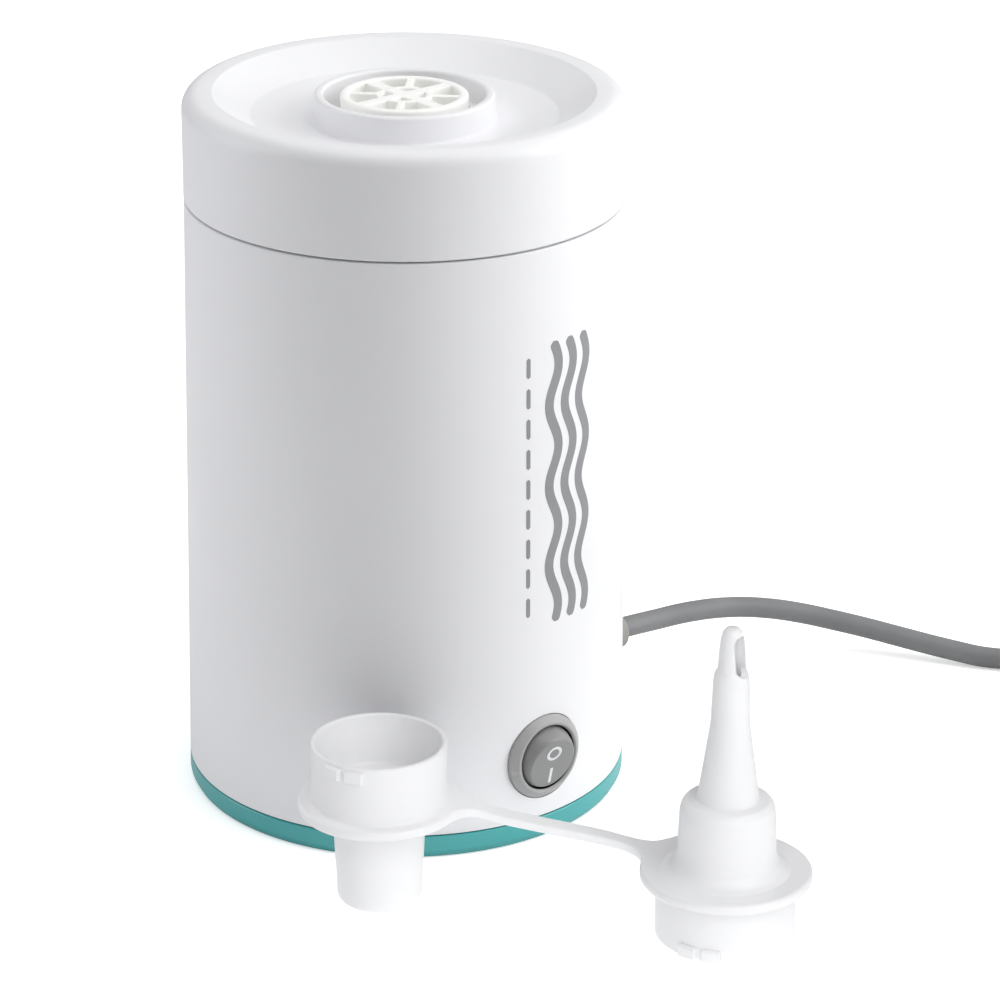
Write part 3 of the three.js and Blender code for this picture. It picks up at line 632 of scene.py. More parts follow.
def ink_strip(name, line, width, bearing):
    """Round-ended strip of ink on the housing.

    line holds (arc length, z); bearing is in degrees from the camera, + to the right.
    """
    across = 4
    bearing = math.radians(bearing)
    bm = bmesh.new()
    lengths = [math.hypot(b[0] - a[0], b[1] - a[1]) for a, b in zip(line, line[1:])]
    rows = []
    for i, (along, z) in enumerate(line):
        before, after = line[max(i - 1, 0)], line[min(i + 1, len(line) - 1)]
        step_s, step_z = after[0] - before[0], after[1] - before[1]
        step = math.hypot(step_s, step_z)
        side_s, side_z = -step_z / step, step_s / step
        end_distance = min(sum(lengths[:i]), sum(lengths[i:]))
        inset = min(1.0, end_distance / (width / 2))
        half = width / 2 * math.sqrt(max(0.0, 1 - (1 - inset) ** 2)) + 0.02
        row = ([], [])
        for k in range(across + 1):
            place = -1 + 2 * k / across
            point_s, point_z = along + side_s * half * place, z + side_z * half * place
            radius = housing_radius(point_z)
            angle = bearing + point_s / radius
            for depth, layer in zip(INK_DEPTHS, row):
                reach = radius + depth
                x, y = from_view(reach * math.sin(angle), -reach * math.cos(angle))
                layer.append(bm.verts.new((x, y, point_z)))
        rows.append(row)
    for (low, high), (low2, high2) in zip(rows, rows[1:]):
        for k in range(across):
            bm.faces.new((high[k], high[k + 1], high2[k + 1], high2[k]))
            bm.faces.new((low[k], low2[k], low2[k + 1], low[k + 1]))
        bm.faces.new((low[0], high[0], high2[0], low2[0]))
        bm.faces.new((high[-1], low[-1], low2[-1], high2[-1]))
    for low, high in (rows[0], rows[-1]):
        for k in range(across):
            bm.faces.new((low[k], low[k + 1], high[k + 1], high[k]))
    strip = new_object(name, bm, "printed_mark_ink", sharp=50)
    dress(strip, "pump_body", "switch_bezel")


def build_mark():
    """An air-flow pattern: three waves and a row of dashes."""
    pitch, amplitude, periods, phase = 5.1, 1.5, 3.5, 0.2
    bottom, height, samples = 57.5, 72.5, 180
    for k in range(3):
        line = []
        for i in range(samples + 1):
            t = i / samples
            sway = amplitude * math.sin(2 * math.pi * periods * t + phase)
            line.append(((k - 1) * pitch + sway, bottom + height * t))
        ink_strip(f"flow_mark_wave_{k + 1}", line, width=2.7, bearing=46.2)
    dash_bottom, dash_pitch, dash_length, samples = 60.5, 7.7, 5.2, 12
    for k in range(9):
        z = dash_bottom + dash_pitch * k
        line = [(0, z + dash_length * i / samples) for i in range(samples + 1)]
        ink_strip(f"flow_mark_dash_{k + 1}", line, width=1.1, bearing=32.6)


# ------------------------------------------------------------------ base tray, feet and screws
# (radius, z, rounding)
TRAY_PROFILE = [
    (0, 0), (13, 0, 0.4), (13.4, TRAY_BOTTOM, 0.3), (54.5, TRAY_BOTTOM, 0.3), (55.45, 1.9, 0.9),
    (55.42, TRAY_TOP, 0.4), (52.3, TRAY_TOP, 0.3), (52.3, 11, 0.4), (50.4, 11, 0.4),
    (50.4, 3, 0.6), (0, 3)]
FOOT_PROFILE = [
    (0, 0.12), (2.6, 0.12, 0.1), (2.9, 0, 0.1), (4.5, 0, 0.45), (4.5, 1.5), (0, 1.5)]
SCREW_PROFILE = [
    (0, 1.75), (1.6, 1.8), (2.5, 2.3, 0.3), (2.7, 3.3, 0.2), (1.35, 3.3), (1.1, 4.2),
    (1.3, 4.6), (1.1, 5.2), (1.3, 5.6), (1.1, 6.2), (1.3, 6.6), (1.1, 7.2), (1.3, 17.0, 0.3),
    (0, 17.4)]


def build_tray():
    tray = new_object("base_ring_tray", lathe(fillet(TRAY_PROFILE, 4), 224), "teal_base_plastic")
    post_x, post_ys = 42, (-6.6, 6.6)
    boss = fillet([(0, 2), (5, 2), (5, 6, 0.5), (0, 6)], 2)
    additions = [lathe(boss, 48, around(a, BASE_SCREW_RADIUS)) for a in BASE_SCREW_ANGLES]
    additions += [cylinder(3, 2, 20.6, 32, shift(post_x, y, 0)) for y in post_ys]
    additions.append(box(40.5, 43.5, -6, 6, 2, 14.6))
    # a pair of slotted uprights on the +Y side
    additions += [box(side * 18.2 - 2.4, side * 18.2 + 2.4, 29, 34.6, 2, 20, 0.3, 1)
                  for side in (-1, 1)]
    boolean(tray, merged(additions), "UNION")
    cuts = [cylinder(1.25, 9, 22, 20, shift(post_x, y, 0)) for y in post_ys]
    cuts.append(box(-16.6, 16.6, 30.7, 32.9, 4, 25))
    cuts.append(box(-10, 10, -54, -47, TRAY_TOP + 0.2, 12))
    # round-ended slots through the floor
    slot = arc(2, range(90, 271, 15), x=19) + arc(2, range(-90, 91, 15), x=35)
    cuts += [prism(slot, -1, 4, around(15 + 30 * k)) for k in range(12)]
    hole = [(0, -1), (3.2, -1), (3.2, 3.6), (1.8, 3.6), (1.8, 7), (0, 7)]
    cuts += [lathe(hole, 48, around(a, BASE_SCREW_RADIUS)) for a in BASE_SCREW_ANGLES]
    cuts += [cylinder(4.9, -1, 1.8, 48, around(a, FOOT_CIRCLE_RADIUS)) for a in FOOT_ANGLES]
    cut(tray, joined(cuts))
    settle_normals(tray)
    dress(tray, "pump_body", "teal_base", "base_tray")


def build_feet():
    for number, angle in enumerate(FOOT_ANGLES, 1):
        solid = lathe(fillet(FOOT_PROFILE, 4), 64, around(angle, FOOT_CIRCLE_RADIUS))
        foot = new_object(f"foot_pad_{number}", solid, "black_rubber")
        dress(foot, "pump_body", "black_rubber", f"rubber_foot_{number}")


def build_base_screws():
    for i, angle in enumerate(BASE_SCREW_ANGLES):
        place = around(angle, BASE_SCREW_RADIUS)
        screw = new_object(f"base_screw_head_{i + 1}", lathe(fillet(SCREW_PROFILE, 2), 40, place),
                           "zinc_plated_steel")
        # cross recess, turned differently in each head
        boolean(screw, merged([
            box(-1.5, 1.5, -0.28, 0.28, 1.2, 2.75, matrix=place @ around(turn + 20 * i))
            for turn in (0, 90)]))
        dress(screw, "pump_body", "steel", f"base_screw_{i + 1}")


# ------------------------------------------------------------------ top cap
# (radius, z, rounding), from the skirt with its seal groove round to the underside
CAP_SKIRT = [
    (49.2, 148.5, 0.3), (51.1, 148.5, 0.4), (51.1, 149.9), (50.1, 149.9), (50.1, 151.5),
    (51.1, 151.5), (51.1, 154.15, 0.2), (53.95, 154.15, 0.45)]
CAP_RIM = arc(4.14, [7.5 * i for i in range(13)], x=49.86, y=176.06)
CAP_DISH = [
    (48.4, 180.19), (46.6, 180.1, 0.8), (45.75, 179.5, 1.0), (37.5, 174.25, 1.4),
    (34.0, 173.62), (28.0, 172.95), (22.0, 172.35, 1.1)]
CAP_COLLAR = [
    (22.0, 179.35, 0.8), (19.7, 179.35, 0.8), (19.7, 165.8, 0.5), (13.6, 165.8, 0.3),
    (13.6, 163.4, 0.3), (22.1, 163.4, 0.8)]
CAP_UNDERSIDE = [(22.1, 169.9, 0.8), (37.9, 171.6, 2), (46.4, 176.9, 2), (49.2, 176.2, 1)]


def build_cap():
    profile = fillet(CAP_SKIRT + CAP_RIM + CAP_DISH + CAP_COLLAR + CAP_UNDERSIDE)
    cap = new_object("cap_shell", lathe(densify(profile, 3.5), 256), "white_shell_plastic")
    # two curved ribs inside the collar, on +X and -X
    ribs = [
        prism(arc(20.2, range(a - 24, a + 25, 3)) + arc(17.4, range(a + 24, a - 25, -3)),
              171.5, 173.6)
        for a in (0, 180)]
    fuse(cap, joined(ribs))
    settle_normals(cap)
    dress(cap, "pump_body", "white_shell", "top_cap")
    section = arc(0.46, [22.5 * i for i in range(16)], x=50.8, y=150.75)
    seal = new_object("cap_seal_ring", lathe(section, 160), "black_rubber")
    dress(seal, "pump_body", "black_rubber", "cap_seal")


# ------------------------------------------------------------------ outlet grille
GRILLE_BOTTOM, GRILLE_TOP = 175.0, 178.85
GRILLE_ROUND = 0.25  # on the edges of the plate
GRILLE_RADIUS = 14.2
HUB_RADIUS, RING_INNER, RING_OUTER, TUBE_INNER = 2.8, 5.4, 6.8, 13.4
BROAD_HALF, THIN_HALF = 1.6, 0.85  # half widths of the spokes


def quarter_turned(points, quarter):
    c, s = math.cos(quarter * math.pi / 2), math.sin(quarter * math.pi / 2)
    return [(x * c - y * s, x * s + y * c) for x, y in points]


def outer_opening(quarter, flip):
    """Opening between a broad spoke on an axis and the thin spoke 45 degrees away."""
    side = -1 if flip else 1
    inner_start = math.asin(BROAD_HALF / RING_OUTER)
    inner_end = math.radians(45) - math.asin(THIN_HALF / RING_OUTER)
    outer_start = math.asin(BROAD_HALF / TUBE_INNER)
    outer_end = math.radians(45) - math.asin(THIN_HALF / TUBE_INNER)
    polar = [(RING_OUTER, inner_start + (inner_end - inner_start) * i / 6) for i in range(7)]
    polar += [(TUBE_INNER, outer_end + (outer_start - outer_end) * i / 10) for i in range(11)]
    corners = (0, 6, 7, 17)
    points = fillet([
        (r * math.cos(side * a), r * math.sin(side * a), 0.5 if i in corners else 0)
        for i, (r, a) in enumerate(polar)], 4)
    if flip:
        points.reverse()
    return quarter_turned(points, quarter)


def inner_opening(quarter):
    """Opening between hub, ring and two broad spokes."""
    hub_start = math.asin(BROAD_HALF / HUB_RADIUS)
    ring_start = math.asin(BROAD_HALF / RING_INNER)
    hub_sweep, ring_sweep = math.pi / 2 - 2 * hub_start, math.pi / 2 - 2 * ring_start
    polar = [(HUB_RADIUS, hub_start + hub_sweep * i / 4, 0.3 if i in (0, 4) else 0)
             for i in range(5)]
    polar += [(RING_INNER, math.pi / 2 - ring_start - ring_sweep * i / 6,
               0.35 if i in (0, 6) else 0) for i in range(7)]
    grow = 1.0006 + 0.0004 * quarter  # each opening is a hair larger than the last
    points = fillet([(grow * r * math.cos(a), grow * r * math.sin(a), f) for r, a, f in polar], 4)
    return quarter_turned(points, quarter)


def grille_plate():
    """Plate with rounded edges, filled from a flat curve, as a tool object."""
    curve = bpy.data.curves.new("grille_plate", "CURVE")
    curve.dimensions = "2D"
    curve.fill_mode = "BOTH"
    curve.extrude = (GRILLE_TOP - GRILLE_BOTTOM - 2 * GRILLE_ROUND) / 2 * MM
    curve.bevel_depth = GRILLE_ROUND * MM
    curve.bevel_resolution = 3
    curve.offset = -GRILLE_ROUND * MM
    loops = [arc(GRILLE_RADIUS, [2.25 * i for i in range(160)])]
    for k in range(4):
        loops += [outer_opening(k, False), outer_opening(k, True), inner_opening(k)]
    for loop in loops:
        spline = curve.splines.new("POLY")
        spline.points.add(len(loop) - 1)
        for point, (x, y) in zip(spline.points, loop):
            point.co = (x * MM, y * MM, 0, 1)
        spline.use_cyclic_u = True
    source = bpy.data.objects.new("grille_plate", curve)
    bpy.context.scene.collection.objects.link(source)
    bpy.context.view_layer.update()
    graph = bpy.context.evaluated_depsgraph_get()
    mesh = bpy.data.meshes.new_from_object(source.evaluated_get(graph))
    bpy.data.objects.remove(source)
    plate = bpy.data.objects.new("grille_tool", mesh)
    bpy.context.scene.collection.objects.link(plate)
    bm = bmesh.new()
    bm.from_mesh(mesh)
    bmesh.ops.remove_doubles(bm, verts=bm.verts, dist=1e-6)
    middle = (GRILLE_BOTTOM + GRILLE_TOP) / 2 * MM
    bmesh.ops.translate(bm, vec=(0, 0, middle), verts=bm.verts)
    bmesh.ops.recalc_face_normals(bm, faces=bm.faces)
    bm.to_mesh(mesh)
    bm.free()
    return plate


def build_grille():
    """Tube closed by the spoked plate."""
    plate = grille_plate()
    tube = fillet([
        (15.4, 166.1, 0.3), (15.6, 179.1, 0.75), (TUBE_INNER, 179.1, 0.6), (13.6, 166.1, 0.3)])
    grille = new_object("outlet_spoke_grille", lathe(tube, 160), "white_grille_plastic")
    boolean(grille, plate, "UNION")
    clean(grille, sharp=28)
    dress(grille, "pump_body", "white_shell", "outlet_grille")


# ------------------------------------------------------------------ switch
BEZEL_RADIUS = 10.9
# (radius, distance from the pump axis, rounding)
BEZEL_PROFILE = [
    (BEZEL_RADIUS, 54.1), (BEZEL_RADIUS, SWITCH_REACH, 0.3), (9.35, 56.7, 0.6),
    (8.8, 56.8, 0.2), (8.4, 56.35, 0.2), (8.4, 40.5), (0, 40.5), (0, 39.0), (9.8, 39.0, 0.3),
    (9.8, 54.1)]
WELL_RADIUS, WELL_REACH = 8.6, 56.2  # faces within these are painted black, as painted shade in the gap round the rocker
BALL_RADIUS = 8.2
FACE_HEIGHT = 4.5  # flat face of the rocker, outward from the pivot
BALL_BACK = 3.6  # flat back, inward from the pivot
ROCKER_POSE = (shift(0, -(SWITCH_REACH - PIVOT_DEPTH), SWITCH_Z)
               @ about("X", 13) @ about("X", 90))  # tipped 13 degrees down


def build_bezel():
    bezel = new_object("switch_bezel_body", lathe(fillet(BEZEL_PROFILE), 160, SWITCH_AXIS),
                       "switch_bezel_plastic")
    for x in (-2.7, 2.7):  # slots through the back
        cut(bezel, box(x - 0.7, x + 0.7, -42, -37, SWITCH_Z - 3, SWITCH_Z + 3))
    bezel.data.materials.append(MATERIALS["black_moulded"])
    # the well's faces take the black material as painted shade of the gap round the rocker
    for face in bezel.data.polygons:
        centre = face.center / MM
        if math.hypot(centre.x, centre.z - SWITCH_Z) < WELL_RADIUS and -centre.y < WELL_REACH:
            face.material_index = 1
    dress(bezel, "pump_body", "switch_bezel", "switch_housing")


def build_rocker():
    """A ball about the pivot with a flat face; a ring above and a bar below mark it."""
    face = FACE_HEIGHT
    rim = math.sqrt(BALL_RADIUS * BALL_RADIUS - face * face)
    profile = [(0, face), (rim * 0.5, face), (rim - 0.34, face), (rim - 0.12, face - 0.03),
               (rim + 0.02, face - 0.13)]
    first = math.atan2(face, rim) - 0.03
    steps = 22
    for i in range(1, steps + 1):
        angle = first - (first + math.asin(BALL_BACK / BALL_RADIUS)) * i / steps
        profile.append((BALL_RADIUS * math.cos(angle), BALL_RADIUS * math.sin(angle)))
    profile.append((0, -BALL_BACK))
    button = new_object("rocker_button", lathe(profile, 128, ROCKER_POSE),
                        "switch_rocker_plastic", sharp=50)
    dress(button, "rocker", "switch_rocker", "switch_rocker")
    section = [(1.85 + 0.42 * math.cos(a), face + 0.02 + 0.06 * math.sin(a))
               for a in [2 * math.pi * i / 12 for i in range(12)]]
    oval = shift(0, 2.95, 0) @ Matrix.Diagonal((1.04, 0.88, 1, 1))
    bar_y, bar_half = -3.6, 2.2
    for name, solid in (
            ("rocker_mark_ring", lathe(section, 64, ROCKER_POSE @ oval)),
            ("rocker_mark_bar", box(-0.43, 0.43, bar_y - bar_half, bar_y + bar_half,
                                    face - 0.1, face + 0.07, 0.05, 2, ROCKER_POSE))):
        dress(new_object(name, solid, "switch_mark_ink", sharp=60), "rocker", "switch_rocker")


# ------------------------------------------------------------------ cord
# stations of the cord: (x, y, z); the first run is in the pump's frame, the others in the view's
CORD_EXIT = [(41, 0, CORD_Z), (50, 0, CORD_Z), (60, 0, CORD_Z), (71.7, 0, CORD_Z)]
FLOOR_Z = CORD_RADIUS + 0.05  # centre of the cord where it lies on the floor
CORD_LOOSE = [
    (66.7, 52.4, 16.9), (75.2, 58.7, 16.2), (83.7, 63.7, 15.3), (92.1, 67.2, 14.1),
    (100.5, 69.2, 12.6), (108.8, 70, 10.8), (117, 69.6, 9), (125.2, 68.3, 7.4),
    (133.2, 66.3, 5.9), (141.2, 63.8, 4.6), (149.1, 61, 3.6), (156.9, 58.4, FLOOR_Z),
    (168, 56.4, FLOOR_Z), (180, 56, FLOOR_Z), (192, 56.1, CORD_RADIUS + 0.1)]
CORD_TAIL = [
    (214, 57, 19.8), (226, 54.3, 15.5), (235.3, 47.6, 10), (241.5, 39, 7.6), (243, 30, 7.2),
    (243, 18, 7.2)]
COIL_X, COIL_Y, COIL_HALF_X, COIL_HALF_Y = 202, 12, 20, 44
COIL_TURNS, COIL_STATIONS = 3, 24
COIL_Z, COIL_PITCH = 3.9, 5.95


def coil_points():
    """Flat turns; each climbs to the next over its last quarter."""
    points = []
    for i in range(1, COIL_TURNS * COIL_STATIONS + 1):
        t = i / COIL_STATIONS
        turn = math.floor(t + 1e-9)
        part = t - turn
        angle = math.radians(90 - 360 * part)
        climb = min(1, max(0, (part - 0.74) / 0.24))
        level = turn + climb * climb * (3 - 2 * climb)
        dip = (1 - t / 0.12) if t < 0.12 else 0  # eases up from the floor
        points.append((COIL_X + COIL_HALF_X * math.cos(angle),
                       COIL_Y + COIL_HALF_Y * math.sin(angle),
                       COIL_Z + COIL_PITCH * level - dip))
    return points


def spaced_curve(stations, count):
    """Centripetal Catmull-Rom curve: count even steps along it, and its length."""
    points = [Vector(p) for p in stations]
    dense = []
    for i in range(len(points) - 1):
        p1, p2 = points[i], points[i + 1]
        p0 = points[i - 1] if i > 0 else p1 - (p2 - p1)
        p3 = points[i + 2] if i + 2 < len(points) else p2 + (p2 - p1)
        d0, d1, d2 = (max((b - a).length ** 0.5, 1e-4)
                      for a, b in ((p0, p1), (p1, p2), (p2, p3)))
        t1 = ((p1 - p0) / d0 - (p2 - p0) / (d0 + d1) + (p2 - p1) / d1) * d1
        t2 = ((p2 - p1) / d1 - (p3 - p1) / (d1 + d2) + (p3 - p2) / d2) * d1
        for t in [k / 16 for k in range(16)]:
            dense.append(p1 + t1 * t + (-3 * p1 + 3 * p2 - 2 * t1 - t2) * t * t
                         + (2 * p1 - 2 * p2 + t1 + t2) * t ** 3)
    dense.append(points[-1])
    travelled = [0.0]
    for a, b in zip(dense, dense[1:]):
        travelled.append(travelled[-1] + (b - a).length)
    out, j = [], 0
    for i in range(count + 1):
        s = travelled[-1] * i / count
        while j < len(travelled) - 2 and travelled[j + 1] < s:
            j += 1
        part = (s - travelled[j]) / max(travelled[j + 1] - travelled[j], 1e-9)
        out.append(dense[j].lerp(dense[j + 1], part))
    return out, travelled[-1]


def build_sheath():
    """Sweeps a circle along the cord; u runs round it and v along it."""
    radius, steps, sides = CORD_RADIUS - 0.02, 620, 28
    v_per_mm = 0.1
    in_view = CORD_LOOSE + coil_points() + CORD_TAIL
    stations = CORD_EXIT + [(*from_view(x, y), z) for x, y, z in in_view]
    path, length = spaced_curve(stations, steps)
    bm = bmesh.new()
    uv_layer = bm.loops.layers.uv.new("UVMap")
    normal = Vector((0, 0, 1))  # carried along the path with as little twist as possible
    rings = []
    for i, point in enumerate(path):
        tangent = (path[min(i + 1, steps)] - path[max(i - 1, 0)]).normalized()
        normal = (normal - tangent * normal.dot(tangent)).normalized()
        side = tangent.cross(normal)
        rings.append([
            bm.verts.new(point + normal * (radius * math.cos(a)) + side * (radius * math.sin(a)))
            for a in [2 * math.pi * k / sides for k in range(sides)]])
    for i in range(steps):
        low, high = rings[i], rings[i + 1]
        v0, v1 = length * i / steps * v_per_mm, length * (i + 1) / steps * v_per_mm
        for k in range(sides):
            j = (k + 1) % sides
            face = bm.faces.new((low[k], low[j], high[j], high[k]))
            u0, u1 = k / sides, (k + 1) / sides
            for corner, uv in zip(face.loops, ((u0, v0), (u1, v0), (u1, v1), (u0, v1))):
                corner[uv_layer].uv = uv
    bm.faces.new(list(reversed(rings[0])))
    bm.faces.new(rings[-1])
    sheath = new_object("cord_sheath_run", bm, "cord_sheath", sharp=50)
    dress(sheath, "pump_body", "cord_grey", "power_cord")


def build_boot():
    profile = fillet([
        (3.1, 49.6), (6, 49.6, 0.4), (6, 52.2, 0.3), (4, 52.2), (4, 55.7), (5.5, 55.7, 0.5),
        (5.35, 60), (4.95, 71.7, 0.75), (3.1, 71.7, 0.35)])
    boot = new_object("cord_boot", lathe(profile, 96, CORD_AXIS), "boot_soft_grey")
    dress(boot, "pump_body", "boot_grey", "strain_relief")


def build_tie():
    """Flat band round one side of the coil; its outlines are (x, z, rounding) in the view."""
    upright = VIEW_TURN @ about("X", 90)
    outer = fillet([(178.0, 0.1, 1.2), (186.0, 0.1, 1.2), (186.0, 19.7, 1.6), (178.0, 19.7, 1.6)])
    inner = fillet([(178.7, 0.8, 0.9), (185.3, 0.8, 0.9), (185.3, 19.0, 1.2), (178.7, 19.0, 1.2)])
    tie = new_object("coil_tie", prism(outer, -13, -8, upright), "black_moulded")
    cut(tie, prism(inner, -15, -6, upright))
    dress(tie, "pump_body", "black_plastic", "cord_tie")


# ------------------------------------------------------------------ plug, laid out in the view
PLUG_X, PLUG_Y, PLUG_Z = 243, 12, 7.2
BLADE_OFFSET = 6.35
PLUG_OUTLINE = [  # (x, y, rounding) about the plug's place
    (-9.5, -12, 3), (-9.5, -31, 3.2), (9.5, -31, 3.2), (9.5, -12, 3), (6, -2, 6),
    (4.6, 14, 2.0), (-4.6, 14, 2.0), (-6, -2, 6)]
BLADE_OUTLINE = [(-36, 4.0, 1.6), (-36, 10.4, 1.6), (-8.4, 10.4), (-8.4, 4.0)]  # (y, z, rounding)
YZ_PLANE = Matrix(((0, 0, 1, 0), (1, 0, 0, 0), (0, 1, 0, 0), (0, 0, 0, 1)))  # local x, y to y, z


def build_plug():
    """Rounded body with finger grips above and below, a cord bore and two blade slots."""
    outline = densify(fillet(PLUG_OUTLINE, 6), 1.5, math.ceil)
    outline = [(PLUG_X + x, PLUG_Y + y) for x, y in outline]
    plug = new_object("plug_moulding", pillow(outline, 0.2, 14.2, 1.7), "cord_sheath")
    cuts = [
        cylinder(0.55, -5.2, 5.2, 16, shift(PLUG_X, -2 - 2.6 * k, z) @ about("Y", 90))
        for k in range(5) for z in (14.1, 0.3)]
    cuts.append(cylinder(3.1, 14, 28, 40, shift(PLUG_X, 0, PLUG_Z) @ about("X", -90)))
    for side in (-1, 1):
        x = PLUG_X + side * BLADE_OFFSET
        cuts.append(box(x - 1.05, x + 1.05, -20, -8, 3.7, 10.7))
    cut(plug, joined(cuts))
    plug.data.transform(VIEW_TURN)
    settle_normals(plug)
    dress(plug, "pump_body", "cord_grey", "plug_body")


def build_blades():
    for number, side in ((1, -1), (2, 1)):
        x = PLUG_X + side * BLADE_OFFSET
        solid = prism(fillet(BLADE_OUTLINE), -0.75, 0.75, shift(x, 0, 0) @ YZ_PLANE)
        blade = new_object(f"blade_{number}", solid, "plated_blade")
        cut(blade, cylinder(1.5, -3, 3, 32, shift(x, -32.5, PLUG_Z) @ about("Y", 90)))
        blade.data.transform(VIEW_TURN)
        dress(blade, "pump_body", "blade_metal", f"plug_blade_{number}")


# ------------------------------------------------------------------ nozzle set: one soft moulding
# (radius, z, rounding)
WIDE_PROFILE = [
    (7.75, 0.7, 0.4), *arc(2.15, [11.25 * i - 90 for i in range(9)], x=8.15, y=2.15),
    (10.4, 6), (11.2, 23.0), (11.7, 24, 0.7), (19.6, 24, 0.95), (19.6, 26.7, 0.95),
    (16.7, 26.7, 0.5), (16.3, 27.5), (16.3, 41.5, 0.55), (15.0, 41.5, 0.5), (15.0, 28.4, 0.9),
    (9.4, 27.3, 0.8), (8.9, 6)]
TAPER_PROFILE = [
    (15.4, 0, 0.35), (16.7, 0, 0.45), (16.7, 13.6), (17.2, 14.2, 0.4), (20.5, 14.2, 0.9),
    (20.5, 16.9, 0.95), (15.3, 16.9, 0.5), (13.5, 17.7, 2.5), (12.2, 19.4, 2.5),
    (11.75, 21.6, 2), (11.4, 31.6, 1.5), (11.0, 33.6, 2), (9.9, 34.9, 1.2), (7.35, 35.25, 0.5),
    (4.65, 54.5, 14), (4.3, 65.2, 1.5), (4.0, 67.2, 1.0), (3.35, 68.2, 0.5), (3.05, 72.5, 6),
    (2.72, 76.0, 2), (2.3, 77.7, 1.2), (1.4, 78.65, 1.2), (0, 78.85),
    (0, 77.35), (1.5, 77.0, 0.6), (1.9, 72, 4), (2.05, 69, 1), (3.0, 58), (6.0, 36, 2),
    (9.6, 33, 2), (10.4, 19, 2), (15.4, 15.6, 0.8)]
WIDE_FLANGE, TAPER_FLANGE = 19.6, 20.5  # radii
STRAP_AIM = from_view(61.82, -81.81)
STRAP_START, STRAP_END = 17.2, 69.4  # along the strap, from the wide nozzle's axis
STRAP_HALF, STRAP_THICKNESS, STRAP_STEPS = 2.6, 2.2, 150


def smooth_line(pairs, x, reach=2.2):
    """Height along a bent line of (x, z) pairs, its corners eased over a short reach."""
    def height(q):
        for (a, za), (b, zb) in zip(pairs, pairs[1:]):
            if q <= b:
                return za + (zb - za) * max(0.0, (q - a) / (b - a))
        return pairs[-1][1]
    return sum(height(x + reach * (k / 4)) * (5 - abs(k)) for k in range(-4, 5)) / 25


def strap_half_width(s, side, flanges):
    """Half width at s on one side (+1 left, -1 right), flared into the flanges by fillets.

    flanges holds (centre s, centre y, flange radius, fillet radius, end): end is -1 or +1.
    """
    width = STRAP_HALF
    for flange_s, flange_y, flange_radius, radius, end in flanges:
        off = abs(side * (STRAP_HALF + radius) - flange_y)
        fillet_s = flange_s - end * math.sqrt((flange_radius + radius) ** 2 - off ** 2)
        touch_s = flange_s + (fillet_s - flange_s) * flange_radius / (flange_radius + radius)
        past = (s - fillet_s) * end
        if past > 0:
            past = min(past, abs(touch_s - fillet_s), radius * 0.999)
            flared = STRAP_HALF + radius - math.sqrt(radius * radius - past * past)
            width = max(width, flared)
    return width


def strap():
    """Bent strap from flange to flange."""
    dx, dy = STRAP_AIM[0] - WIDE_NOZZLE[0], STRAP_AIM[1] - WIDE_NOZZLE[1]
    length = math.hypot(dx, dy)
    to_x, to_y = TAPER_NOZZLE[0] - WIDE_NOZZLE[0], TAPER_NOZZLE[1] - WIDE_NOZZLE[1]
    taper_s = to_x * dx / length + to_y * dy / length
    taper_y = to_y * dx / length - to_x * dy / length
    # centre line: (distance along, z)
    line = [
        (17.2, 25.35), (19.6, 25.3), (23, 24.6), (27, 23.4), (31, 22.4), (39.5, 20.8),
        (47, 19.5), (54.4, 18.1), (61.4, 16.2), (65, 15.6), (length + 8, 15.55)]
    near = (0.0, 0.0, WIDE_FLANGE, 9.0, -1)
    left, right = ((near, (taper_s, taper_y, TAPER_FLANGE, radius, 1)) for radius in (7.0, 4.6))
    bm = bmesh.new()
    rings = []
    for i in range(STRAP_STEPS + 1):
        s = STRAP_START + (STRAP_END - STRAP_START) * i / STRAP_STEPS
        z = smooth_line(line, s)
        # thicker towards both ends
        nearness = max(math.exp(-((s - STRAP_START) / 5.0) ** 2),
                       math.exp(-((STRAP_END - s) / 5.5) ** 2))
        half = (STRAP_THICKNESS + 0.46 * nearness) / 2
        y_left, y_right = strap_half_width(s, 1, left), -strap_half_width(s, -1, right)
        section = fillet([(y_right, -half, 0.75), (y_left, -half, 0.75), (y_left, half, 0.8),
                          (y_right, half, 0.8)])
        rings.append([bm.verts.new((s, y, z + rise)) for y, rise in section])
    bridge(bm, rings)
    bm.faces.new(rings[0])
    bm.faces.new(rings[-1])
    return placed(bm, shift(*WIDE_NOZZLE, 0) @ around(math.degrees(math.atan2(dy, dx))))


def lugs():
    """Two opposite pairs of small blocks on each nozzle's socket."""
    parts = []
    for centre, bearing, z, radius in (
            (WIDE_NOZZLE, -121, 37.6, 16.3), (TAPER_NOZZLE, -115, 0.3, 16.7)):
        for turn in (0, 180):
            for offset in (-10, 10):
                place = shift(*centre, 0) @ around(bearing - VIEW_DEGREES + turn + offset)
                parts.append(box(radius - 0.5, radius + 1.25, -2.35, 2.35, z, z + 3, 0.45, 3,
                                 place))
    return joined(parts)


def tip_window():
    """Upright round-ended slot through one side of the fine tip."""
    half, bottom, top = 1.95, 66.8, 77.0
    outline = arc(half, range(0, 181, 18), y=top - half)
    outline += arc(half, range(180, 361, 18), y=bottom + half)
    facing = around(-40 - VIEW_DEGREES) @ about("Y", 90)
    return prism(outline, 0.0, 6.0, shift(*TAPER_NOZZLE, 0) @ facing @ about("Z", 90))


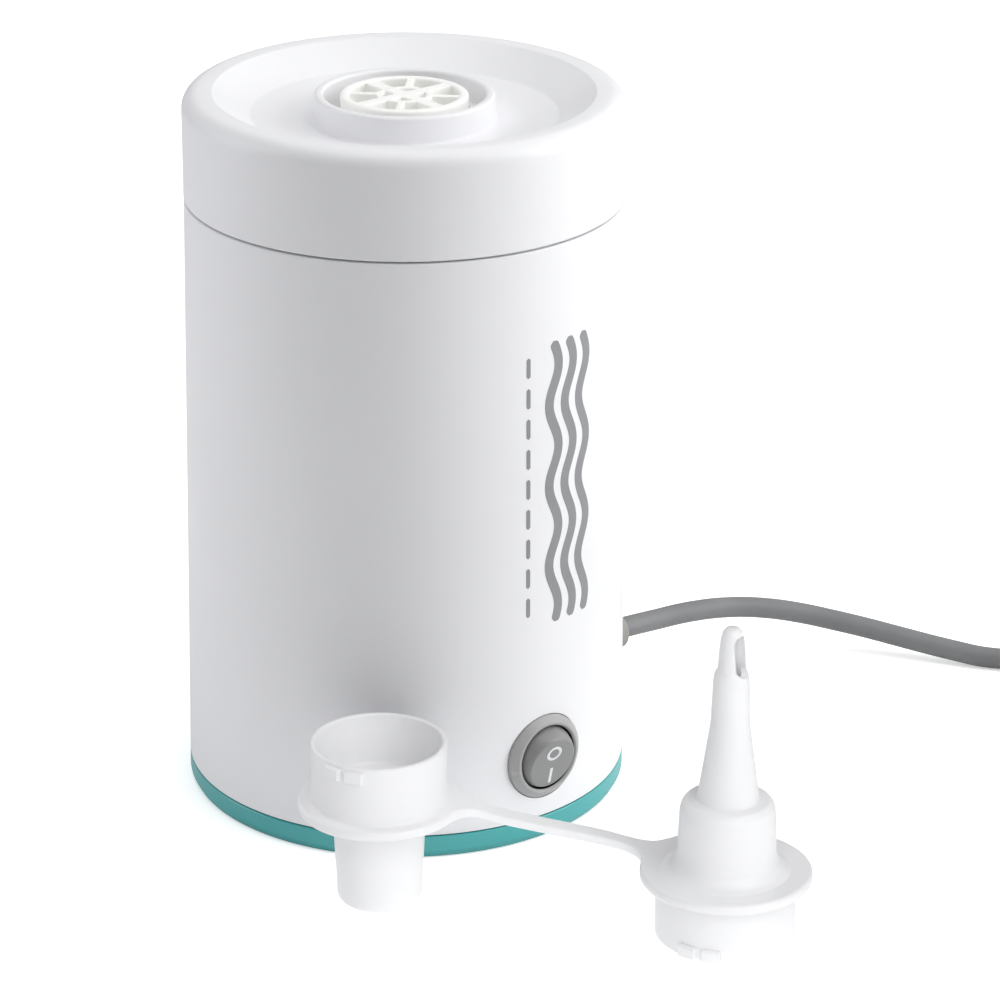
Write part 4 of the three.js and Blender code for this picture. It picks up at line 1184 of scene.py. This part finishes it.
def build_nozzles():
    wide, taper = (
        new_object(name, lathe(densify(fillet(profile, steps), 3.0), 192, shift(*centre, 0)),
                   "white_polyethylene")
        for name, profile, steps, centre in (
            ("nozzle_pair", WIDE_PROFILE, 5, WIDE_NOZZLE),
            ("taper_tool", TAPER_PROFILE, 6, TAPER_NOZZLE)))
    boolean(wide, taper, "UNION")
    fuse(wide, strap())
    fuse(wide, lugs())
    cut(wide, tip_window())
    settle_normals(wide, sharp=34)
    dress(wide, "nozzles", "white_nozzle", "nozzle_set")


for build in (build_housing, build_mark, build_tray, build_feet, build_base_screws, build_cap,
              build_grille, build_bezel, build_rocker, build_sheath, build_boot, build_tie,
              build_plug, build_blades, build_nozzles):
    build()

# ------------------------------------------------------------------ inner pieces keep their shape
INNER_PIECES = {
    "inner_moulding": ("fan_inlet_plate", "diffuser_plate", "motor_bracket", "cord_clamp"),
    "fan_moulding": ("impeller",),
    "zinc_plated_steel": (
        "motor_can", "brush_spring_1", "brush_spring_2", "motor_screw_1", "motor_screw_2",
        "motor_shaft", "clamp_screw_1", "clamp_screw_2", "fan_screw_1", "fan_screw_2",
        "fan_screw_3"),
    "black_moulded": ("motor_end_cap", "thermal_fuse", "bridge_rectifier", "wire_motor_2"),
    "ferrite_block": ("magnet_1", "magnet_2"),
    "sintered_bronze": ("lower_bearing", "upper_bearing"),
    "carbon_block": ("carbon_brush_1", "carbon_brush_2"),
    "black_rubber": ("motor_ring",),
    "lamination_stack": ("armature_stack",),
    "enamelled_winding": ("armature_winding",),
    "copper_contact": ("commutator", "contact_lever", "switch_terminal_1", "switch_terminal_2"),
    "solder_masked_board": ("rectifier_board",),
    "wire_red_sleeve": ("filter_capacitor", "wire_live", "wire_motor_1"),
    "wire_blue_sleeve": ("wire_neutral",),
}
for material, pieces in INNER_PIECES.items():
    for piece in pieces:
        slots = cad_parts[piece].data.materials
        slots.clear()
        slots.append(MATERIALS[material])


# ------------------------------------------------------------------ floor and world
AMBIENT = 0.235  # strength of the light from all round
FLOOR_LIFT = 0.50  # glow the camera sees in the floor near the pump; it rises to 1 further out


def floor_material(name):
    """White floor that fades into the backdrop."""
    shader = Shader(name)
    mottle = shader.span(shader.noise(scale=40.0, detail=2.0), start=0.3, end=0.7)
    color = shader.mix(mottle, (0.93, 0.93, 0.93, 1), (0.95, 0.95, 0.95, 1))
    shader.finish(color, roughness=0.9, Specular_IOR_Level=0.05)
    glow = shader.node("ShaderNodeEmission")
    camera_ray = shader.node("ShaderNodeLightPath").outputs["Is Camera Ray"]
    place = shader.node("ShaderNodeTexCoord").outputs["Object"]
    distance = shader.node("ShaderNodeVectorMath")
    distance.operation = "LENGTH"
    connect(shader.tree, distance.inputs[0], place)
    lift = shader.span(
        distance.outputs["Value"], start=0.35, end=0.95, low=FLOOR_LIFT, high=1.0)
    feed(shader.tree, glow, Strength=shader.calc("MULTIPLY", camera_ray, lift))
    both = shader.node("ShaderNodeAddShader")
    connect(shader.tree, both.inputs[0], shader.surface.outputs[0])
    connect(shader.tree, both.inputs[1], glow.outputs[0])
    connect(shader.tree, shader.output.inputs[0], both.outputs[0])
    return shader.material


def build_floor():
    bm = bmesh.new()
    bmesh.ops.create_grid(bm, x_segments=1, y_segments=1, size=6000)
    floor = new_object("studio_floor", bm)
    floor.data.materials.append(floor_material("studio_floor_white"))


def build_world():
    """Pure white to the camera, a dim cool white to everything else."""
    scene = bpy.context.scene
    world = scene.world or bpy.data.worlds.new("studio")
    scene.world = world
    world.use_nodes = True
    tree = world.node_tree
    tree.nodes.clear()
    output = add_node(tree, "ShaderNodeOutputWorld")
    mix = add_node(tree, "ShaderNodeMixShader")
    rays = add_node(tree, "ShaderNodeLightPath")
    backdrop = add_node(tree, "ShaderNodeBackground", Color=(1, 1, 1, 1), Strength=1.0)
    ambient = add_node(
        tree, "ShaderNodeBackground", Color=(0.97, 0.98, 1.0, 1), Strength=AMBIENT)
    sources = (rays.outputs["Is Camera Ray"], ambient.outputs[0], backdrop.outputs[0])
    for socket, source in zip(mix.inputs, sources):
        connect(tree, socket, source)
    connect(tree, output.inputs[0], mix.outputs[0])


# ------------------------------------------------------------------ lights
LIGHT_AIM = Vector((0, 0, 0.085))
# softboxes: name, degrees from the viewing direction (+ to the right), elevation in degrees,
# distance, width and height in metres, power in watts, and colour if not white
BODY_LIGHTS = (
    ("soft_right", 90, 15, 1.0, 0.6, 0.8, 1.27),
    ("soft_front_right", 79, 20, 1.0, 0.45, 0.8, 4.0),
    ("soft_right_high", 65, 50, 1.0, 0.6, 0.6, 1.6),
    ("soft_back_right", 125, 25, 1.0, 0.7, 0.8, 1.58),
    ("soft_left", -93, 15, 1.0, 0.55, 0.8, 3.0, (0.97, 0.975, 1.0)),
    ("soft_back", 180, 40, 1.1, 0.9, 0.8, 0.86),
    ("soft_top", 0, 89, 1.0, 0.9, 0.9, 3.8),
)
# the nozzles have their own softboxes, gentler and further to the front
NOZZLE_LIGHTS = (
    ("nozzle_front", 0, 30, 1.1, 0.6, 0.8, 3.3),
    ("nozzle_front_right", 38, 25, 1.0, 0.6, 0.8, 2.8),
    ("nozzle_right_high", 65, 50, 1.0, 0.6, 0.6, 1.45),
    ("nozzle_back_right", 125, 25, 1.0, 0.7, 0.8, 1.0),
    ("nozzle_back_left", -125, 25, 1.0, 0.7, 0.8, 3.7),
)


def softbox(name, bearing, elevation, distance, width, height, power, color=(1, 1, 1)):
    bearing, elevation = math.radians(bearing), math.radians(elevation)
    x, y = from_view(math.sin(bearing), -math.cos(bearing))
    level = math.cos(elevation)
    position = Vector((x * level, y * level, math.sin(elevation))) * distance + LIGHT_AIM
    light = bpy.data.lights.new(name, "AREA")
    light.shape = "RECTANGLE"
    light.size, light.size_y = width, height
    light.energy = power
    light.color = color
    lamp = bpy.data.objects.new(name, light)
    lamp.location = position
    lamp.rotation_euler = (LIGHT_AIM - position).to_track_quat("-Z", "Y").to_euler()
    bpy.context.scene.collection.objects.link(lamp)
    return lamp


def build_lights():
    for label, rows, state in (("lit_without_nozzle", BODY_LIGHTS, "EXCLUDE"),
                               ("lit_by_nozzle_light", NOZZLE_LIGHTS, "INCLUDE")):
        lamps = [softbox(*row) for row in rows]
        group = bpy.data.collections.new(label)
        group.objects.link(bpy.data.objects["nozzle_pair"])
        for lamp in lamps:
            lamp.light_linking.receiver_collection = group
            if state == "EXCLUDE":
                lamp.light_linking.blocker_collection = group
        for item in group.collection_objects:
            item.light_linking.link_state = state


# ------------------------------------------------------------------ camera
CAMERA_PLACE = (0, -0.98653, 0.47086)  # metres, in the view's frame
CAMERA_DIP = 0.379557  # radians below level
CAMERA_PAN, CAMERA_TILT, CAMERA_ROLL = 0.022281, 0.003140, -0.003168  # small turns, radians
SENSOR_WIDTH, FOCAL_LENGTH = 36, 152.2854  # mm


def build_camera():
    """Places the camera; its axes are worked out as rows of right, down and forward."""
    right = Vector((1, 0, 0))
    forward = Vector((0, math.cos(CAMERA_DIP), -math.sin(CAMERA_DIP)))
    level = Matrix((right, forward.cross(right), forward))
    c, s = math.cos(CAMERA_PAN), math.sin(CAMERA_PAN)
    pan = Matrix(((c, 0, -s), (0, 1, 0), (s, 0, c)))
    c, s = math.cos(CAMERA_TILT), math.sin(CAMERA_TILT)
    tilt = Matrix(((1, 0, 0), (0, c, -s), (0, s, c)))
    c, s = math.cos(CAMERA_ROLL), math.sin(CAMERA_ROLL)
    roll = Matrix(((c, -s, 0), (s, c, 0), (0, 0, 1)))
    axes = roll @ tilt @ pan @ level
    # a camera's own axes are right, up and backward
    turned = Matrix((axes[0], -axes[1], -axes[2])).transposed()
    view_turn = VIEW_TURN.to_3x3()
    pose = (view_turn @ turned).to_4x4()
    pose.translation = view_turn @ Vector(CAMERA_PLACE)
    lens = bpy.data.cameras.new("camera")
    lens.sensor_fit = "HORIZONTAL"
    lens.sensor_width = SENSOR_WIDTH
    lens.lens = FOCAL_LENGTH
    lens.clip_start = 0.05
    lens.clip_end = 50
    camera = bpy.data.objects.new("camera", lens)
    camera.matrix_world = pose
    bpy.context.scene.collection.objects.link(camera)
    bpy.context.scene.camera = camera


build_floor()
build_world()
build_lights()
build_camera()
view_settings = bpy.context.scene.view_settings
view_settings.view_transform = "Standard"
view_settings.look = "None"
view_settings.exposure = 0.0
view_settings.gamma = 1.0
